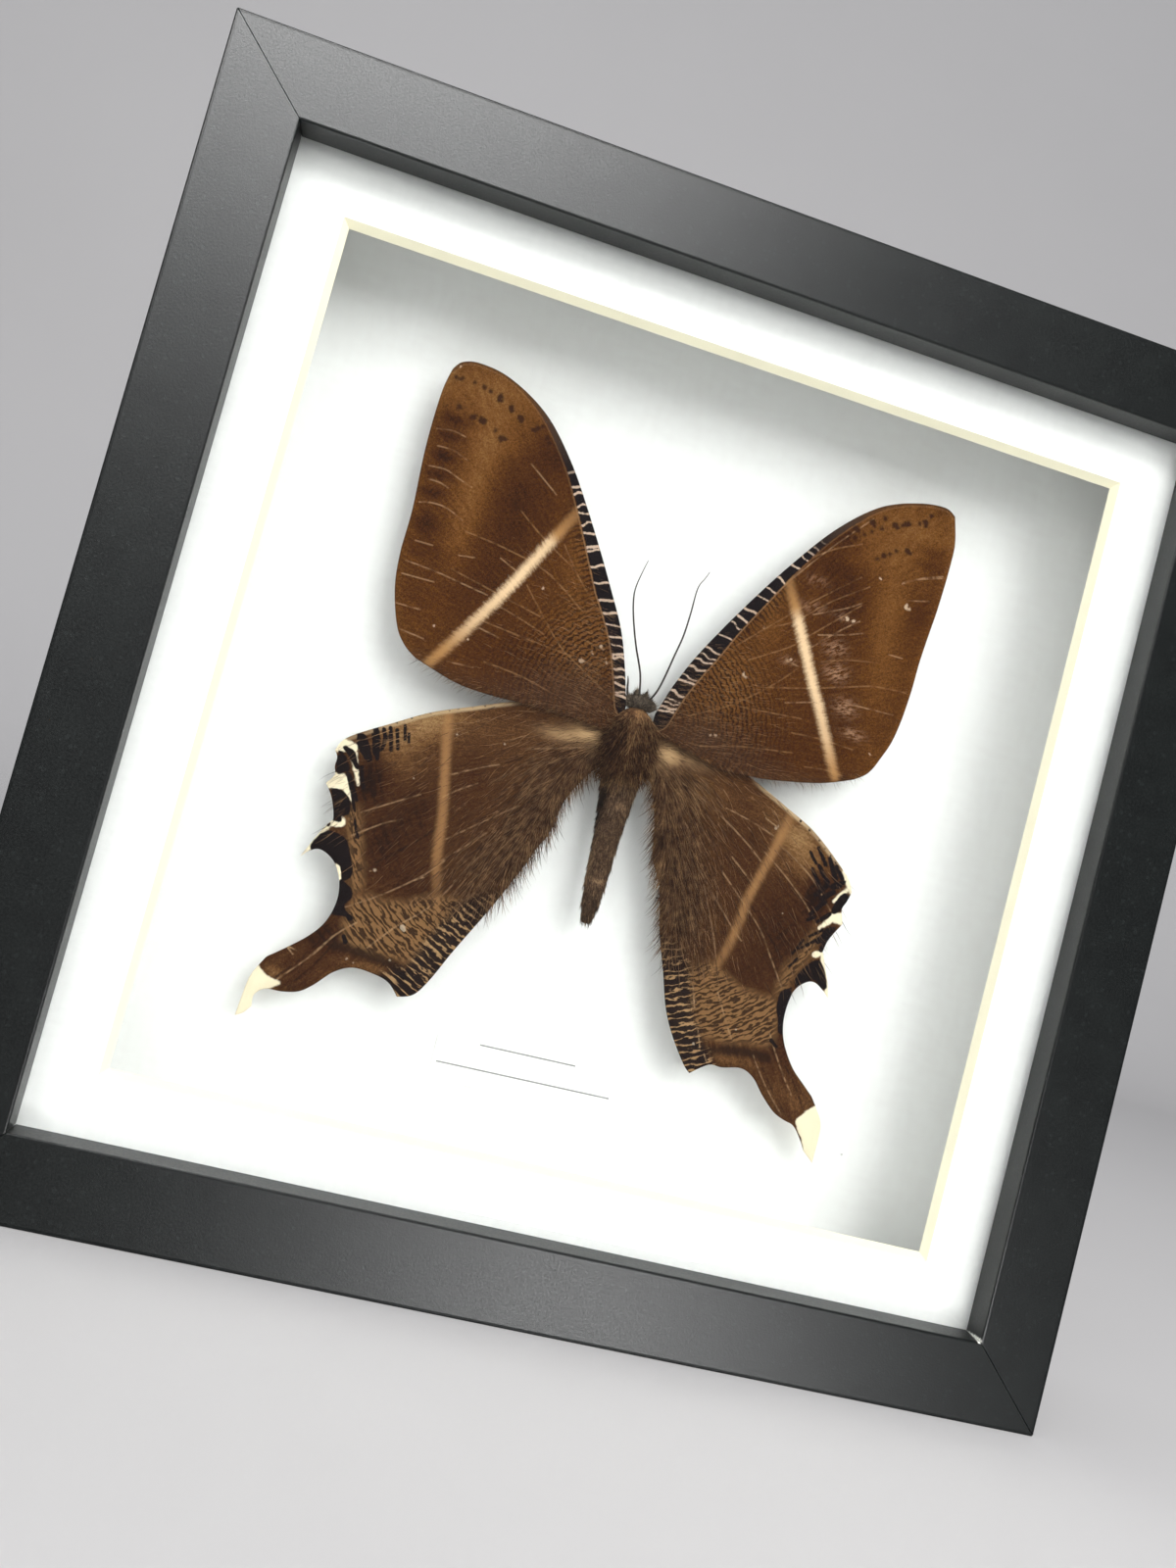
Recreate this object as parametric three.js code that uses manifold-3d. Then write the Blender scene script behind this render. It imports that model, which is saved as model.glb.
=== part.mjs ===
// A framed swallowtail moth: a spread, pinned specimen in a deep square picture frame.
// Millimetres, +Z up, the picture faces -Y, the frame stands on its bottom rail at z = 0.
import * as THREE from 'three';
import { mergeVertices } from 'three/addons/utils/BufferGeometryUtils.js';
import Module from 'manifold-3d';

// Frame
const FRAME_SIZE = 200;
const FRAME_DEPTH = 40;
const FACE_WIDTH = 14.5;
const WALL_WIDTH = 8.5;
const LIP_THICKNESS = 5.7;
const OUTER_ROUND = 0.7;
const LIP_ROUND = 0.4;
const MITRE_GAP = 0.1;

// Flat layers behind the lip, front to back
const LAYER_GAP = 0.1;
const EDGE_PLAY = 0.3;
const GLASS_THICKNESS = 2;
const MAT_THICKNESS = 1.4;
const MAT_WINDOW = 148.4;
const MAT_BEVEL = 1.2;
const SPACER_WIDTH = 5;
const BOARD_FRONT = 30;
const BOARD_THICKNESS = 2.5;
const PANEL_THICKNESS = 2.5;

// Paper slip on the board
const LABEL_WIDTH = 38.4;
const LABEL_HEIGHT = 9.4;
const LABEL_THICKNESS = 0.2;
const LABEL_X = -1.2;
const LABEL_BELOW_CENTRE = 62.7;
const LABEL_TILT = 0.9;

// Fastenings at the back
const TAB_LENGTH = 14;
const TAB_WIDTH = 4.5;
const TAB_THICKNESS = 0.5;
const TAB_BURIED = 5;
const TAB_SPREAD = 46;
const HANGER_WIDTH = 44;
const HANGER_HEIGHT = 9;
const HANGER_THICKNESS = 1;
const HANGER_BELOW_TOP = 26;
const HANGER_PLAIN_END = 8;
const HANGER_TEETH = 11;
const TOOTH_HEIGHT = 2.2;
const NAIL_SPREAD = 17;
const NAIL_RADIUS = 0.8;
const NAIL_HEAD_RADIUS = 2;
const NAIL_HEAD_HEIGHT = 0.8;
const NAIL_BITE = 1.8;

// Moth
const WING_BEHIND_FRONT = 21.7;
const WING_THICKNESS = 0.4;
const WING_STEP = 1.2;
const WING_RISE = 1.2;
const WING_ROOT = 4;
const WING_SPAN = 50;
const TAIL_DROP = 1.4;
const TAIL_START = 40;
const TAIL_LENGTH = 25;
const CAMBER_CELL = 5;
const SHEET_MARGIN = 2;
const CUTTER_DEPTH = 20;
const CLEARANCE = 0.3;
const THORAX_CENTRE = [-0.9, 2.6, -0.6];
const THORAX_RADII = [5.1, 7.8, 4.6];
const HEAD_CENTRE = [-0.9, 10.9, -0.8];
const HEAD_RADII = [2.7, 1.8, 2];
const EYE_RADIUS = 1.25;
const EYE_SPREAD = 2.1;
const EYE_LIFT = 0.1;
const PALP_RADIUS = 0.55;
const PALP_PATH = [[0.8, 0.8, -0.6], [1, 1.8, -0.6], [0.9, 2.4, -0.2]];
const ABDOMEN_PROFILE = [[1.1, -31.8], [1.75, -27], [2.15, -21], [2.45, -15], [3.1, -9], [3.9, -3]];
const ABDOMEN_RINGS = 8;
const RING_STEP = 0.14;
const ABDOMEN_FLATTEN = 0.9;
const ABDOMEN_LEAN = 1.3;
const ABDOMEN_X = -0.5;
const ABDOMEN_Z = -1.4;
const FEELER_RADIUS = 0.2;
const LEG_RADIUS = 0.2;
const PIN_RADIUS = 0.35;
const PIN_INTO_THORAX = 2.6;
const PIN_INTO_BOARD = 2;

const HALF = FRAME_SIZE / 2;
const FRONT_Y = -FRAME_DEPTH / 2;
const BACK_Y = FRAME_DEPTH / 2;
const LAYER_HALF = HALF - WALL_WIDTH - EDGE_PLAY;
const GLASS_Y = FRONT_Y + LIP_THICKNESS + LAYER_GAP;
const MAT_Y = GLASS_Y + GLASS_THICKNESS + LAYER_GAP;
const SPACER_Y = MAT_Y + MAT_THICKNESS + LAYER_GAP;
const BOARD_Y = FRONT_Y + BOARD_FRONT;
const PANEL_Y = BOARD_Y + BOARD_THICKNESS + LAYER_GAP;
const PANEL_BACK = PANEL_Y + PANEL_THICKNESS;
const WING_Y = FRONT_Y + WING_BEHIND_FRONT;
const BOARD_Z_IN_MOTH = WING_Y - BOARD_Y;

// Wing outlines as seen from the front, in mm from the frame's centre: x to the right, y up.
// Each list is one smooth stretch of the edge, and neighbouring stretches meet in a corner.
const FOREWING_LEFT = [
  // leading edge, from the root to the wing tip
  [
    [-3.4, 9.6], [-5.4, 16.2], [-8.1, 23.1], [-12.2, 30.2], [-18.3, 40], [-25.2, 50], [-32.2, 57.5],
    [-40, 61.9], [-46.2, 63.1], [-49.6, 62.4], [-51.1, 60.6],
  ],
  // outer margin
  [
    [-51.1, 60.6], [-51.9, 55.6], [-52, 45.2], [-51.3, 33.5], [-51.3, 25], [-50.5, 18.5],
    [-48.3, 12], [-46, 8.9], [-43.5, 7.2],
  ],
  // inner margin, back to the root
  [[-43.5, 7.2], [-36, 5], [-30, 4.4], [-22, 4.6], [-14, 4.8], [-8, 4.2], [-3.4, 4]],
];

const FOREWING_RIGHT = [
  [
    [2.4, 9.6], [3.8, 14.2], [5.4, 18.4], [7.9, 23.8], [13.3, 33.4], [20, 44], [27.1, 53.6],
    [34.6, 60.5], [42.1, 63.8], [47.9, 64.8], [50.4, 63.8],
  ],
  [
    [50.4, 63.8], [51.7, 59.2], [52, 55], [51.7, 45.9], [50.8, 35], [50.5, 26.3],
    [49.5, 18.4], [47.6, 13.1], [45.9, 10], [43.4, 8.1],
  ],
  [[43.4, 8.1], [37.5, 5.8], [30, 4.1], [24, 3.2], [17, 3], [11, 4.4], [6, 5.6], [2.4, 5.5]],
];

const HINDWING_LEFT = [
  // leading edge, hidden under the forewing near the root
  [
    [-3, 6], [-9, 8], [-17, 7], [-24, 4.6], [-30.4, 1.9], [-38.1, -1.5], [-44.5, -5.4],
    [-49.9, -8.8], [-52.2, -10.8], [-53, -12.8],
  ],
  // two shallow scallops
  [[-53, -12.8], [-52.3, -14], [-52.3, -15.6], [-51.9, -17.2], [-53, -19]],
  [[-53, -19], [-51.5, -21], [-50.4, -23.5], [-50, -25]],
  // the pointed tooth
  [[-50, -25], [-51.2, -27], [-52.6, -29.9], [-53.9, -33.1]],
  // the round bay and the upper side of the tail
  [
    [-53.9, -33.1], [-52.6, -31.6], [-50.8, -30.9], [-48.6, -31.8], [-47, -33.5], [-45.8, -36.2],
    [-45.5, -39.5], [-46.4, -43.2], [-48.5, -46.3], [-52, -49.6], [-54.9, -52],
  ],
  // the tail's split tip
  [[-54.9, -52], [-56.5, -55.3], [-57, -57.6], [-57.5, -63.6]],
  [[-57.5, -63.6], [-56.2, -62.8], [-55.1, -61.3]],
  // the lower side of the tail and the hem between tail and inner corner
  [
    [-55.1, -61.3], [-55.2, -59.2], [-53.6, -57.7], [-50.4, -57.4], [-47.6, -56.6], [-45.4, -54.8],
    [-42.6, -51.7], [-39.4, -50.1], [-34.9, -50.4], [-32.4, -51.3], [-30.4, -53.3],
  ],
  // inner margin with its fringe
  [
    [-30.4, -53.3], [-27.6, -52.2], [-25.4, -48.8], [-22.6, -42.6], [-18.1, -33.5], [-14.5, -25.4],
    [-12.6, -20.5], [-11.2, -17.5], [-9.9, -10.8], [-7.6, -6], [-5.4, -3.1], [-2.5, -2],
  ],
];

const HINDWING_RIGHT = [
  [
    [2, 6], [8, 7], [16, 5.2], [22, 3.6], [26.1, 2.1], [31.8, -0.4], [38.2, -3.3],
    [43.6, -7], [48, -10.6], [49.4, -13],
  ],
  [[49.4, -13], [48.9, -15], [48.3, -16.8], [49.2, -19.4]],
  [[49.2, -19.4], [48, -21.4], [47, -23.5], [46.6, -25.6]],
  [[46.6, -25.6], [48, -28.5], [49.2, -31], [50.1, -34]],
  [
    [50.1, -34], [48.7, -32.8], [46.6, -31.7], [44.8, -32.1], [43, -34], [42.3, -37],
    [42.4, -40.8], [43.6, -44.4], [46.5, -48.5], [50, -51.5], [52, -53.1],
  ],
  [[52, -53.1], [53.8, -55.4], [55.6, -58.6], [56, -65.8]],
  [[56, -65.8], [54.8, -64.8], [53.6, -63.9]],
  [
    [53.6, -63.9], [52, -61.6], [50, -59.5], [47.7, -58.8], [45.2, -57.7], [42, -55],
    [39.3, -52.2], [36.4, -51], [32.7, -51.7], [30, -51.8], [26.8, -54.2],
  ],
  [
    [26.8, -54.2], [25.2, -52.8], [21.6, -48], [19, -43.2], [16.7, -36.7], [14.1, -29.5],
    [12, -21.7], [9.3, -16.7], [8.2, -11.5], [6.6, -6], [5, -2.8], [2, -2],
  ],
];

// Thin limbs as curves: x to the right, y up, z towards the front.
const ANTENNA_LEFT = [
  [-1.5, 12.1, 0.4], [-2.6, 16, 1.4], [-4.8, 20.6, 2], [-6.5, 24.8, 2.4], [-7.6, 28.4, 2.6],
  [-7.9, 31, 2.7], [-7.5, 33.9, 2.7], [-6.9, 36.8, 2.6],
];
const ANTENNA_RIGHT = [
  [0.7, 12, 0.4], [1.5, 14, 1.1], [2.1, 17, 1.6], [2.7, 21, 2], [3.3, 25, 2.4], [3.5, 29.5, 2.6],
  [3.5, 33.6, 2.7], [3.8, 35.4, 2.7], [4.4, 36.5, 2.7], [5, 38.1, 2.6],
];
const FORELEG_LEFT = [[-3.6, 11.9, -0.6], [-4, 13.2, -0.3], [-4.2, 14.2, -0.1], [-4.5, 15.2, 0]];

const wasm = await Module();
wasm.setup();

function solidOf(geometry) {
  const bare = geometry.clone();
  bare.deleteAttribute('normal');
  bare.deleteAttribute('uv');
  const merged = mergeVertices(bare, 1e-4);
  const corners = merged.index.array;
  const triangles = [];
  for (let i = 0; i < corners.length; i += 3) {
    const [a, b, c] = corners.slice(i, i + 3);
    if (a !== b && b !== c && c !== a) {
      triangles.push(a, b, c);
    }
  }
  const vertProperties = new Float32Array(merged.attributes.position.array);
  const triVerts = new Uint32Array(triangles);
  return new wasm.Manifold(new wasm.Mesh({ numProp: 3, vertProperties, triVerts }));
}

function geometryOf(solid) {
  const mesh = solid.getMesh();
  const geometry = new THREE.BufferGeometry();
  geometry.setAttribute('position', new THREE.BufferAttribute(mesh.vertProperties, 3));
  geometry.setIndex(new THREE.BufferAttribute(mesh.triVerts, 1));
  geometry.computeVertexNormals();
  return geometry;
}

function finish(color, roughness, metalness = 0) {
  return new THREE.MeshStandardMaterial({ color, roughness, metalness });
}

const blackPaint = finish(0x1f2322, 0.55);
const clearGlass = new THREE.MeshStandardMaterial({
  color: 0xf4f8f7,
  roughness: 0.03,
  metalness: 0,
  transparent: true,
  opacity: 0.15,
});
const whiteMat = finish(0xf6f6f4, 0.9);
const whiteBoard = finish(0xf1f2f0, 0.9);
const spacerBoard = finish(0xeeeeea, 0.9);
const labelPaper = finish(0xfafaf8, 0.85);
const hardboard = finish(0x6b4a2e, 0.85);
const zincSteel = finish(0xb4b6b8, 0.4, 1);
const foreScales = finish(0x6a4422, 0.8);
const hindScales = finish(0x5f4226, 0.8);
const thoraxHair = finish(0x4e3622, 0.95);
const abdomenScales = finish(0x574638, 0.9);
const headScales = finish(0x3a332d, 0.9);
const darkLimb = finish(0x26201c, 0.7);

const part = new THREE.Group();

function place(parent, name, geometry, material) {
  const mesh = new THREE.Mesh(geometry, material);
  mesh.name = name;
  parent.add(mesh);
  return mesh;
}

// A flat square-on box between two depths, centred on the frame.
function layer(width, height, frontY, thickness) {
  const box = new THREE.BoxGeometry(width, thickness, height);
  box.translate(0, frontY + thickness / 2, HALF);
  return box;
}

// Section of the moulding: x is the depth, y the distance in from the outer edge.
function mouldingSection() {
  const lipBack = FRONT_Y + LIP_THICKNESS;
  const section = new THREE.Shape();
  section.moveTo(BACK_Y, 0);
  section.lineTo(BACK_Y, WALL_WIDTH);
  section.lineTo(lipBack, WALL_WIDTH);
  section.lineTo(lipBack, FACE_WIDTH);
  section.lineTo(FRONT_Y + LIP_ROUND, FACE_WIDTH);
  section.quadraticCurveTo(FRONT_Y, FACE_WIDTH, FRONT_Y, FACE_WIDTH - LIP_ROUND);
  section.lineTo(FRONT_Y, OUTER_ROUND);
  section.quadraticCurveTo(FRONT_Y, 0, FRONT_Y + OUTER_ROUND, 0);
  section.closePath();
  return section;
}

// The bottom rail about the frame's centre, its ends slid back to the 45 degree mitre.
function railGeometry() {
  const rail = new THREE.ExtrudeGeometry(mouldingSection(), {
    depth: FRAME_SIZE,
    bevelEnabled: false,
    curveSegments: 3,
  });
  const alongX = new THREE.Matrix4().makeBasis(
    new THREE.Vector3(0, 1, 0),
    new THREE.Vector3(0, 0, 1),
    new THREE.Vector3(1, 0, 0),
  );
  rail.applyMatrix4(alongX);
  rail.translate(-HALF, 0, 0);
  const points = rail.attributes.position;
  for (let i = 0; i < points.count; i += 1) {
    const inward = points.getZ(i);
    points.setX(i, Math.sign(points.getX(i)) * (HALF - inward - MITRE_GAP));
    points.setZ(i, inward - HALF);
  }
  return rail;
}

// A retaining tab on the bottom rail, about the frame's centre: a strip with a round inner end.
function tabGeometry(x, play) {
  const width = TAB_WIDTH / 2 + play;
  const start = WALL_WIDTH - TAB_BURIED - play;
  const end = WALL_WIDTH - TAB_BURIED + TAB_LENGTH;
  const outline = new THREE.Shape();
  outline.moveTo(-width, start);
  outline.lineTo(width, start);
  outline.lineTo(width, end - width);
  outline.absarc(0, end - width, width, 0, Math.PI);
  outline.closePath();
  const tab = new THREE.ExtrudeGeometry(outline, {
    depth: TAB_THICKNESS + 2 * play,
    bevelEnabled: false,
    curveSegments: 8,
  });
  tab.rotateX(Math.PI / 2);
  const backFace = PANEL_BACK + CLEARANCE + TAB_THICKNESS + play;
  tab.translate(x, backFace, -HALF);
  return tab;
}

function addFrame() {
  const slots = [-TAB_SPREAD, TAB_SPREAD].map((x) => solidOf(tabGeometry(x, CLEARANCE)));
  const rail = solidOf(railGeometry()).subtract(slots[0]).subtract(slots[1]);
  ['bottom', 'left', 'top', 'right'].forEach((side, quarter) => {
    const turned = new THREE.Group();
    turned.position.set(0, 0, HALF);
    turned.rotation.y = (quarter * Math.PI) / 2;
    place(turned, `frame_rail_${side}`, geometryOf(rail), blackPaint);
    [-TAB_SPREAD, TAB_SPREAD].forEach((x, index) => {
      place(turned, `retaining_tab_${side}_${index + 1}`, tabGeometry(x, 0), zincSteel);
    });
    part.add(turned);
  });
}

// The window mat, its opening wider at the front so that the cut core shows as a bevel.
function matGeometry() {
  const half = MAT_WINDOW / 2;
  const sheet = new THREE.Shape();
  sheet.moveTo(-LAYER_HALF, -LAYER_HALF);
  sheet.lineTo(LAYER_HALF, -LAYER_HALF);
  sheet.lineTo(LAYER_HALF, LAYER_HALF);
  sheet.lineTo(-LAYER_HALF, LAYER_HALF);
  const opening = new THREE.Path();
  opening.moveTo(-half, -half);
  opening.lineTo(-half, half);
  opening.lineTo(half, half);
  opening.lineTo(half, -half);
  sheet.holes.push(opening);
  const mat = new THREE.ExtrudeGeometry(sheet, { depth: MAT_THICKNESS, bevelEnabled: false });
  const points = mat.attributes.position;
  for (let i = 0; i < points.count; i += 1) {
    const atFront = points.getZ(i) > MAT_THICKNESS / 2;
    const atOpening = Math.abs(points.getX(i)) < half + MAT_BEVEL;
    if (atFront && atOpening) {
      points.setX(i, Math.sign(points.getX(i)) * (half + MAT_BEVEL));
      points.setY(i, Math.sign(points.getY(i)) * (half + MAT_BEVEL));
    }
  }
  mat.rotateX(Math.PI / 2);
  mat.translate(0, MAT_Y + MAT_THICKNESS, HALF);
  return mat;
}

function addLayers() {
  const full = 2 * LAYER_HALF;
  place(part, 'glass_pane', layer(full, full, GLASS_Y, GLASS_THICKNESS), clearGlass);
  place(part, 'window_mat', matGeometry(), whiteMat);

  const spacerDepth = BOARD_Y - LAYER_GAP - SPACER_Y;
  const offset = LAYER_HALF - SPACER_WIDTH / 2;
  const between = full - 2 * SPACER_WIDTH - 2 * CLEARANCE;
  [['bottom', -1], ['top', 1]].forEach(([side, sign]) => {
    const strip = layer(full, SPACER_WIDTH, SPACER_Y, spacerDepth);
    strip.translate(0, 0, sign * offset);
    place(part, `spacer_${side}`, strip, spacerBoard);
  });
  [['left', -1], ['right', 1]].forEach(([side, sign]) => {
    const strip = layer(SPACER_WIDTH, between, SPACER_Y, spacerDepth);
    strip.translate(sign * offset, 0, 0);
    place(part, `spacer_${side}`, strip, spacerBoard);
  });

  const board = layer(full, full, BOARD_Y, BOARD_THICKNESS);
  const pinHole = new THREE.CylinderGeometry(
    PIN_RADIUS + CLEARANCE,
    PIN_RADIUS + CLEARANCE,
    4 * BOARD_THICKNESS,
    12,
  );
  pinHole.translate(THORAX_CENTRE[0], BOARD_Y, HALF + THORAX_CENTRE[1]);
  place(part, 'mount_board', geometryOf(solidOf(board).subtract(solidOf(pinHole))), whiteBoard);

  const slip = new THREE.BoxGeometry(LABEL_WIDTH, LABEL_THICKNESS, LABEL_HEIGHT);
  const label = place(part, 'specimen_label', slip, labelPaper);
  label.rotation.y = THREE.MathUtils.degToRad(-LABEL_TILT);
  const labelY = BOARD_Y - LAYER_GAP - LABEL_THICKNESS / 2;
  label.position.set(LABEL_X, labelY, HALF - LABEL_BELOW_CENTRE);
}

// The sawtooth hanger with its nail holes, upright, x across and y up.
function hangerGeometry() {
  const half = HANGER_WIDTH / 2;
  const toothed = half - HANGER_PLAIN_END;
  const toothWidth = (2 * toothed) / HANGER_TEETH;
  const plate = new THREE.Shape();
  plate.moveTo(-half, 0);
  plate.lineTo(-toothed, 0);
  for (let tooth = 0; tooth < HANGER_TEETH; tooth += 1) {
    plate.lineTo(-toothed + (tooth + 0.5) * toothWidth, TOOTH_HEIGHT);
    plate.lineTo(-toothed + (tooth + 1) * toothWidth, 0);
  }
  plate.lineTo(half, 0);
  plate.lineTo(half, HANGER_HEIGHT);
  plate.lineTo(-half, HANGER_HEIGHT);
  [-NAIL_SPREAD, NAIL_SPREAD].forEach((x) => {
    const hole = new THREE.Path();
    hole.absarc(x, HANGER_HEIGHT / 2, NAIL_RADIUS + CLEARANCE, 0, 2 * Math.PI, true);
    plate.holes.push(hole);
  });
  return new THREE.ExtrudeGeometry(plate, {
    depth: HANGER_THICKNESS,
    bevelEnabled: false,
    curveSegments: 6,
  });
}

// A small round-headed nail along +Y, its head's underside at y = 0.
function nailGeometry() {
  const reach = HANGER_THICKNESS + 2 * CLEARANCE + NAIL_BITE;
  const profile = [
    new THREE.Vector2(0, -reach),
    new THREE.Vector2(NAIL_RADIUS, -reach + NAIL_RADIUS),
    new THREE.Vector2(NAIL_RADIUS, 0),
    new THREE.Vector2(NAIL_HEAD_RADIUS, 0),
    new THREE.Vector2(NAIL_HEAD_RADIUS * 0.75, NAIL_HEAD_HEIGHT * 0.8),
    new THREE.Vector2(0, NAIL_HEAD_HEIGHT),
  ];
  return geometryOf(solidOf(new THREE.LatheGeometry(profile, 14)));
}

function addBack() {
  const full = 2 * LAYER_HALF;
  const hangerZ = FRAME_SIZE - HANGER_BELOW_TOP;
  const hangerY = PANEL_BACK + CLEARANCE;
  let panel = solidOf(layer(full, full, PANEL_Y, PANEL_THICKNESS));
  const headY = hangerY + HANGER_THICKNESS + CLEARANCE;
  [['left', -1], ['right', 1]].forEach(([side, sign]) => {
    const x = sign * NAIL_SPREAD;
    const hole = new THREE.CylinderGeometry(
      NAIL_RADIUS + CLEARANCE,
      NAIL_RADIUS + CLEARANCE,
      4 * PANEL_THICKNESS,
      12,
    );
    hole.translate(x, PANEL_Y, hangerZ);
    panel = panel.subtract(solidOf(hole));
    const nail = place(part, `hanger_nail_${side}`, nailGeometry(), zincSteel);
    nail.position.set(x, headY, hangerZ);
  });
  place(part, 'back_panel', geometryOf(panel), hardboard);

  const hanger = hangerGeometry();
  hanger.rotateX(Math.PI / 2);
  hanger.translate(0, hangerY + HANGER_THICKNESS, hangerZ - HANGER_HEIGHT / 2);
  place(part, 'sawtooth_hanger', hanger, zincSteel);
}

function ellipsoid(centre, radii, around, rings) {
  const ball = new THREE.SphereGeometry(1, around, rings);
  ball.scale(...radii);
  ball.translate(...centre);
  return ball;
}

// A round rod along a curve through the given points.
function limbGeometry(points, radius, stepsPerPoint) {
  const path = new THREE.CatmullRomCurve3(points.map((point) => new THREE.Vector3(...point)));
  const section = new THREE.Shape();
  section.absarc(0, 0, radius, 0, 2 * Math.PI);
  return new THREE.ExtrudeGeometry(section, {
    steps: points.length * stepsPerPoint,
    curveSegments: 3,
    extrudePath: path,
  });
}

// How far a wing's sheet stands towards the front: domed along the span, the tails drooping.
function wingRise(x, y) {
  const along = THREE.MathUtils.clamp((Math.abs(x) - WING_ROOT) / WING_SPAN, 0, 1);
  const downTail = Math.max(0, (-y - TAIL_START) / TAIL_LENGTH);
  return WING_RISE * Math.sin(Math.PI * along) - TAIL_DROP * downTail ** 2;
}

// A wing: the outline cut from a thin domed sheet, trimmed clear of the thorax.
function wingGeometry(stretches, sheetZ, trim) {
  const shape = new THREE.Shape();
  shape.moveTo(...stretches[0][0]);
  stretches.forEach((stretch) => {
    shape.splineThru(stretch.slice(1).map((point) => new THREE.Vector2(...point)));
  });
  const cutter = new THREE.ExtrudeGeometry(shape, {
    depth: CUTTER_DEPTH,
    bevelEnabled: false,
    curveSegments: 2,
  });
  cutter.translate(0, 0, -CUTTER_DEPTH / 2);

  const bounds = new THREE.Box2().setFromPoints(shape.getPoints(2)).expandByScalar(SHEET_MARGIN);
  const size = bounds.getSize(new THREE.Vector2());
  const centre = bounds.getCenter(new THREE.Vector2());
  const sheet = new THREE.BoxGeometry(
    size.x,
    size.y,
    WING_THICKNESS,
    Math.ceil(size.x / CAMBER_CELL),
    Math.ceil(size.y / CAMBER_CELL),
  );
  sheet.translate(centre.x, centre.y, sheetZ);
  const points = sheet.attributes.position;
  for (let i = 0; i < points.count; i += 1) {
    points.setZ(i, points.getZ(i) + wingRise(points.getX(i), points.getY(i)));
  }
  return geometryOf(solidOf(cutter).intersect(solidOf(sheet)).subtract(trim));
}

// The abdomen: a slim taper of overlapping rings, slightly flattened. Each ring is widest at its lower end.
function abdomenGeometry() {
  const taper = new THREE.SplineCurve(ABDOMEN_PROFILE.map((point) => new THREE.Vector2(...point)));
  const tip = taper.getPoint(0);
  const top = taper.getPoint(1);
  const rings = [new THREE.Vector2(0, tip.y)];
  for (let ring = 0; ring < ABDOMEN_RINGS; ring += 1) {
    [[0, RING_STEP], [0.5, RING_STEP / 2], [0.95, 0]].forEach(([share, proud]) => {
      const point = taper.getPoint((ring + share) / ABDOMEN_RINGS);
      rings.push(new THREE.Vector2(point.x + proud, point.y));
    });
  }
  rings.push(top, new THREE.Vector2(0, top.y));
  const body = new THREE.LatheGeometry(rings, 16);
  body.scale(1, 1, ABDOMEN_FLATTEN);
  body.translate(0, -top.y, 0);
  body.rotateZ(THREE.MathUtils.degToRad(ABDOMEN_LEAN));
  body.translate(ABDOMEN_X, top.y, ABDOMEN_Z);
  return body;
}

// The head: a short skull with two eyes and a pair of palps in front, grown all round by some play.
function headSolid(play) {
  const [x, y, z] = HEAD_CENTRE;
  let head = solidOf(ellipsoid(HEAD_CENTRE, HEAD_RADII.map((radius) => radius + play), 16, 10));
  [-1, 1].forEach((side) => {
    const eyeRadius = EYE_RADIUS + play;
    const eyeCentre = [x + side * EYE_SPREAD, y + EYE_LIFT, z];
    const eye = ellipsoid(eyeCentre, [eyeRadius, eyeRadius, eyeRadius], 10, 7);
    const palpPath = PALP_PATH.map(([across, up, front]) => [x + side * across, y + up, z + front]);
    const palp = limbGeometry(palpPath, PALP_RADIUS + play, 2);
    head = head.add(solidOf(eye)).add(solidOf(palp));
  });
  return head;
}

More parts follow.
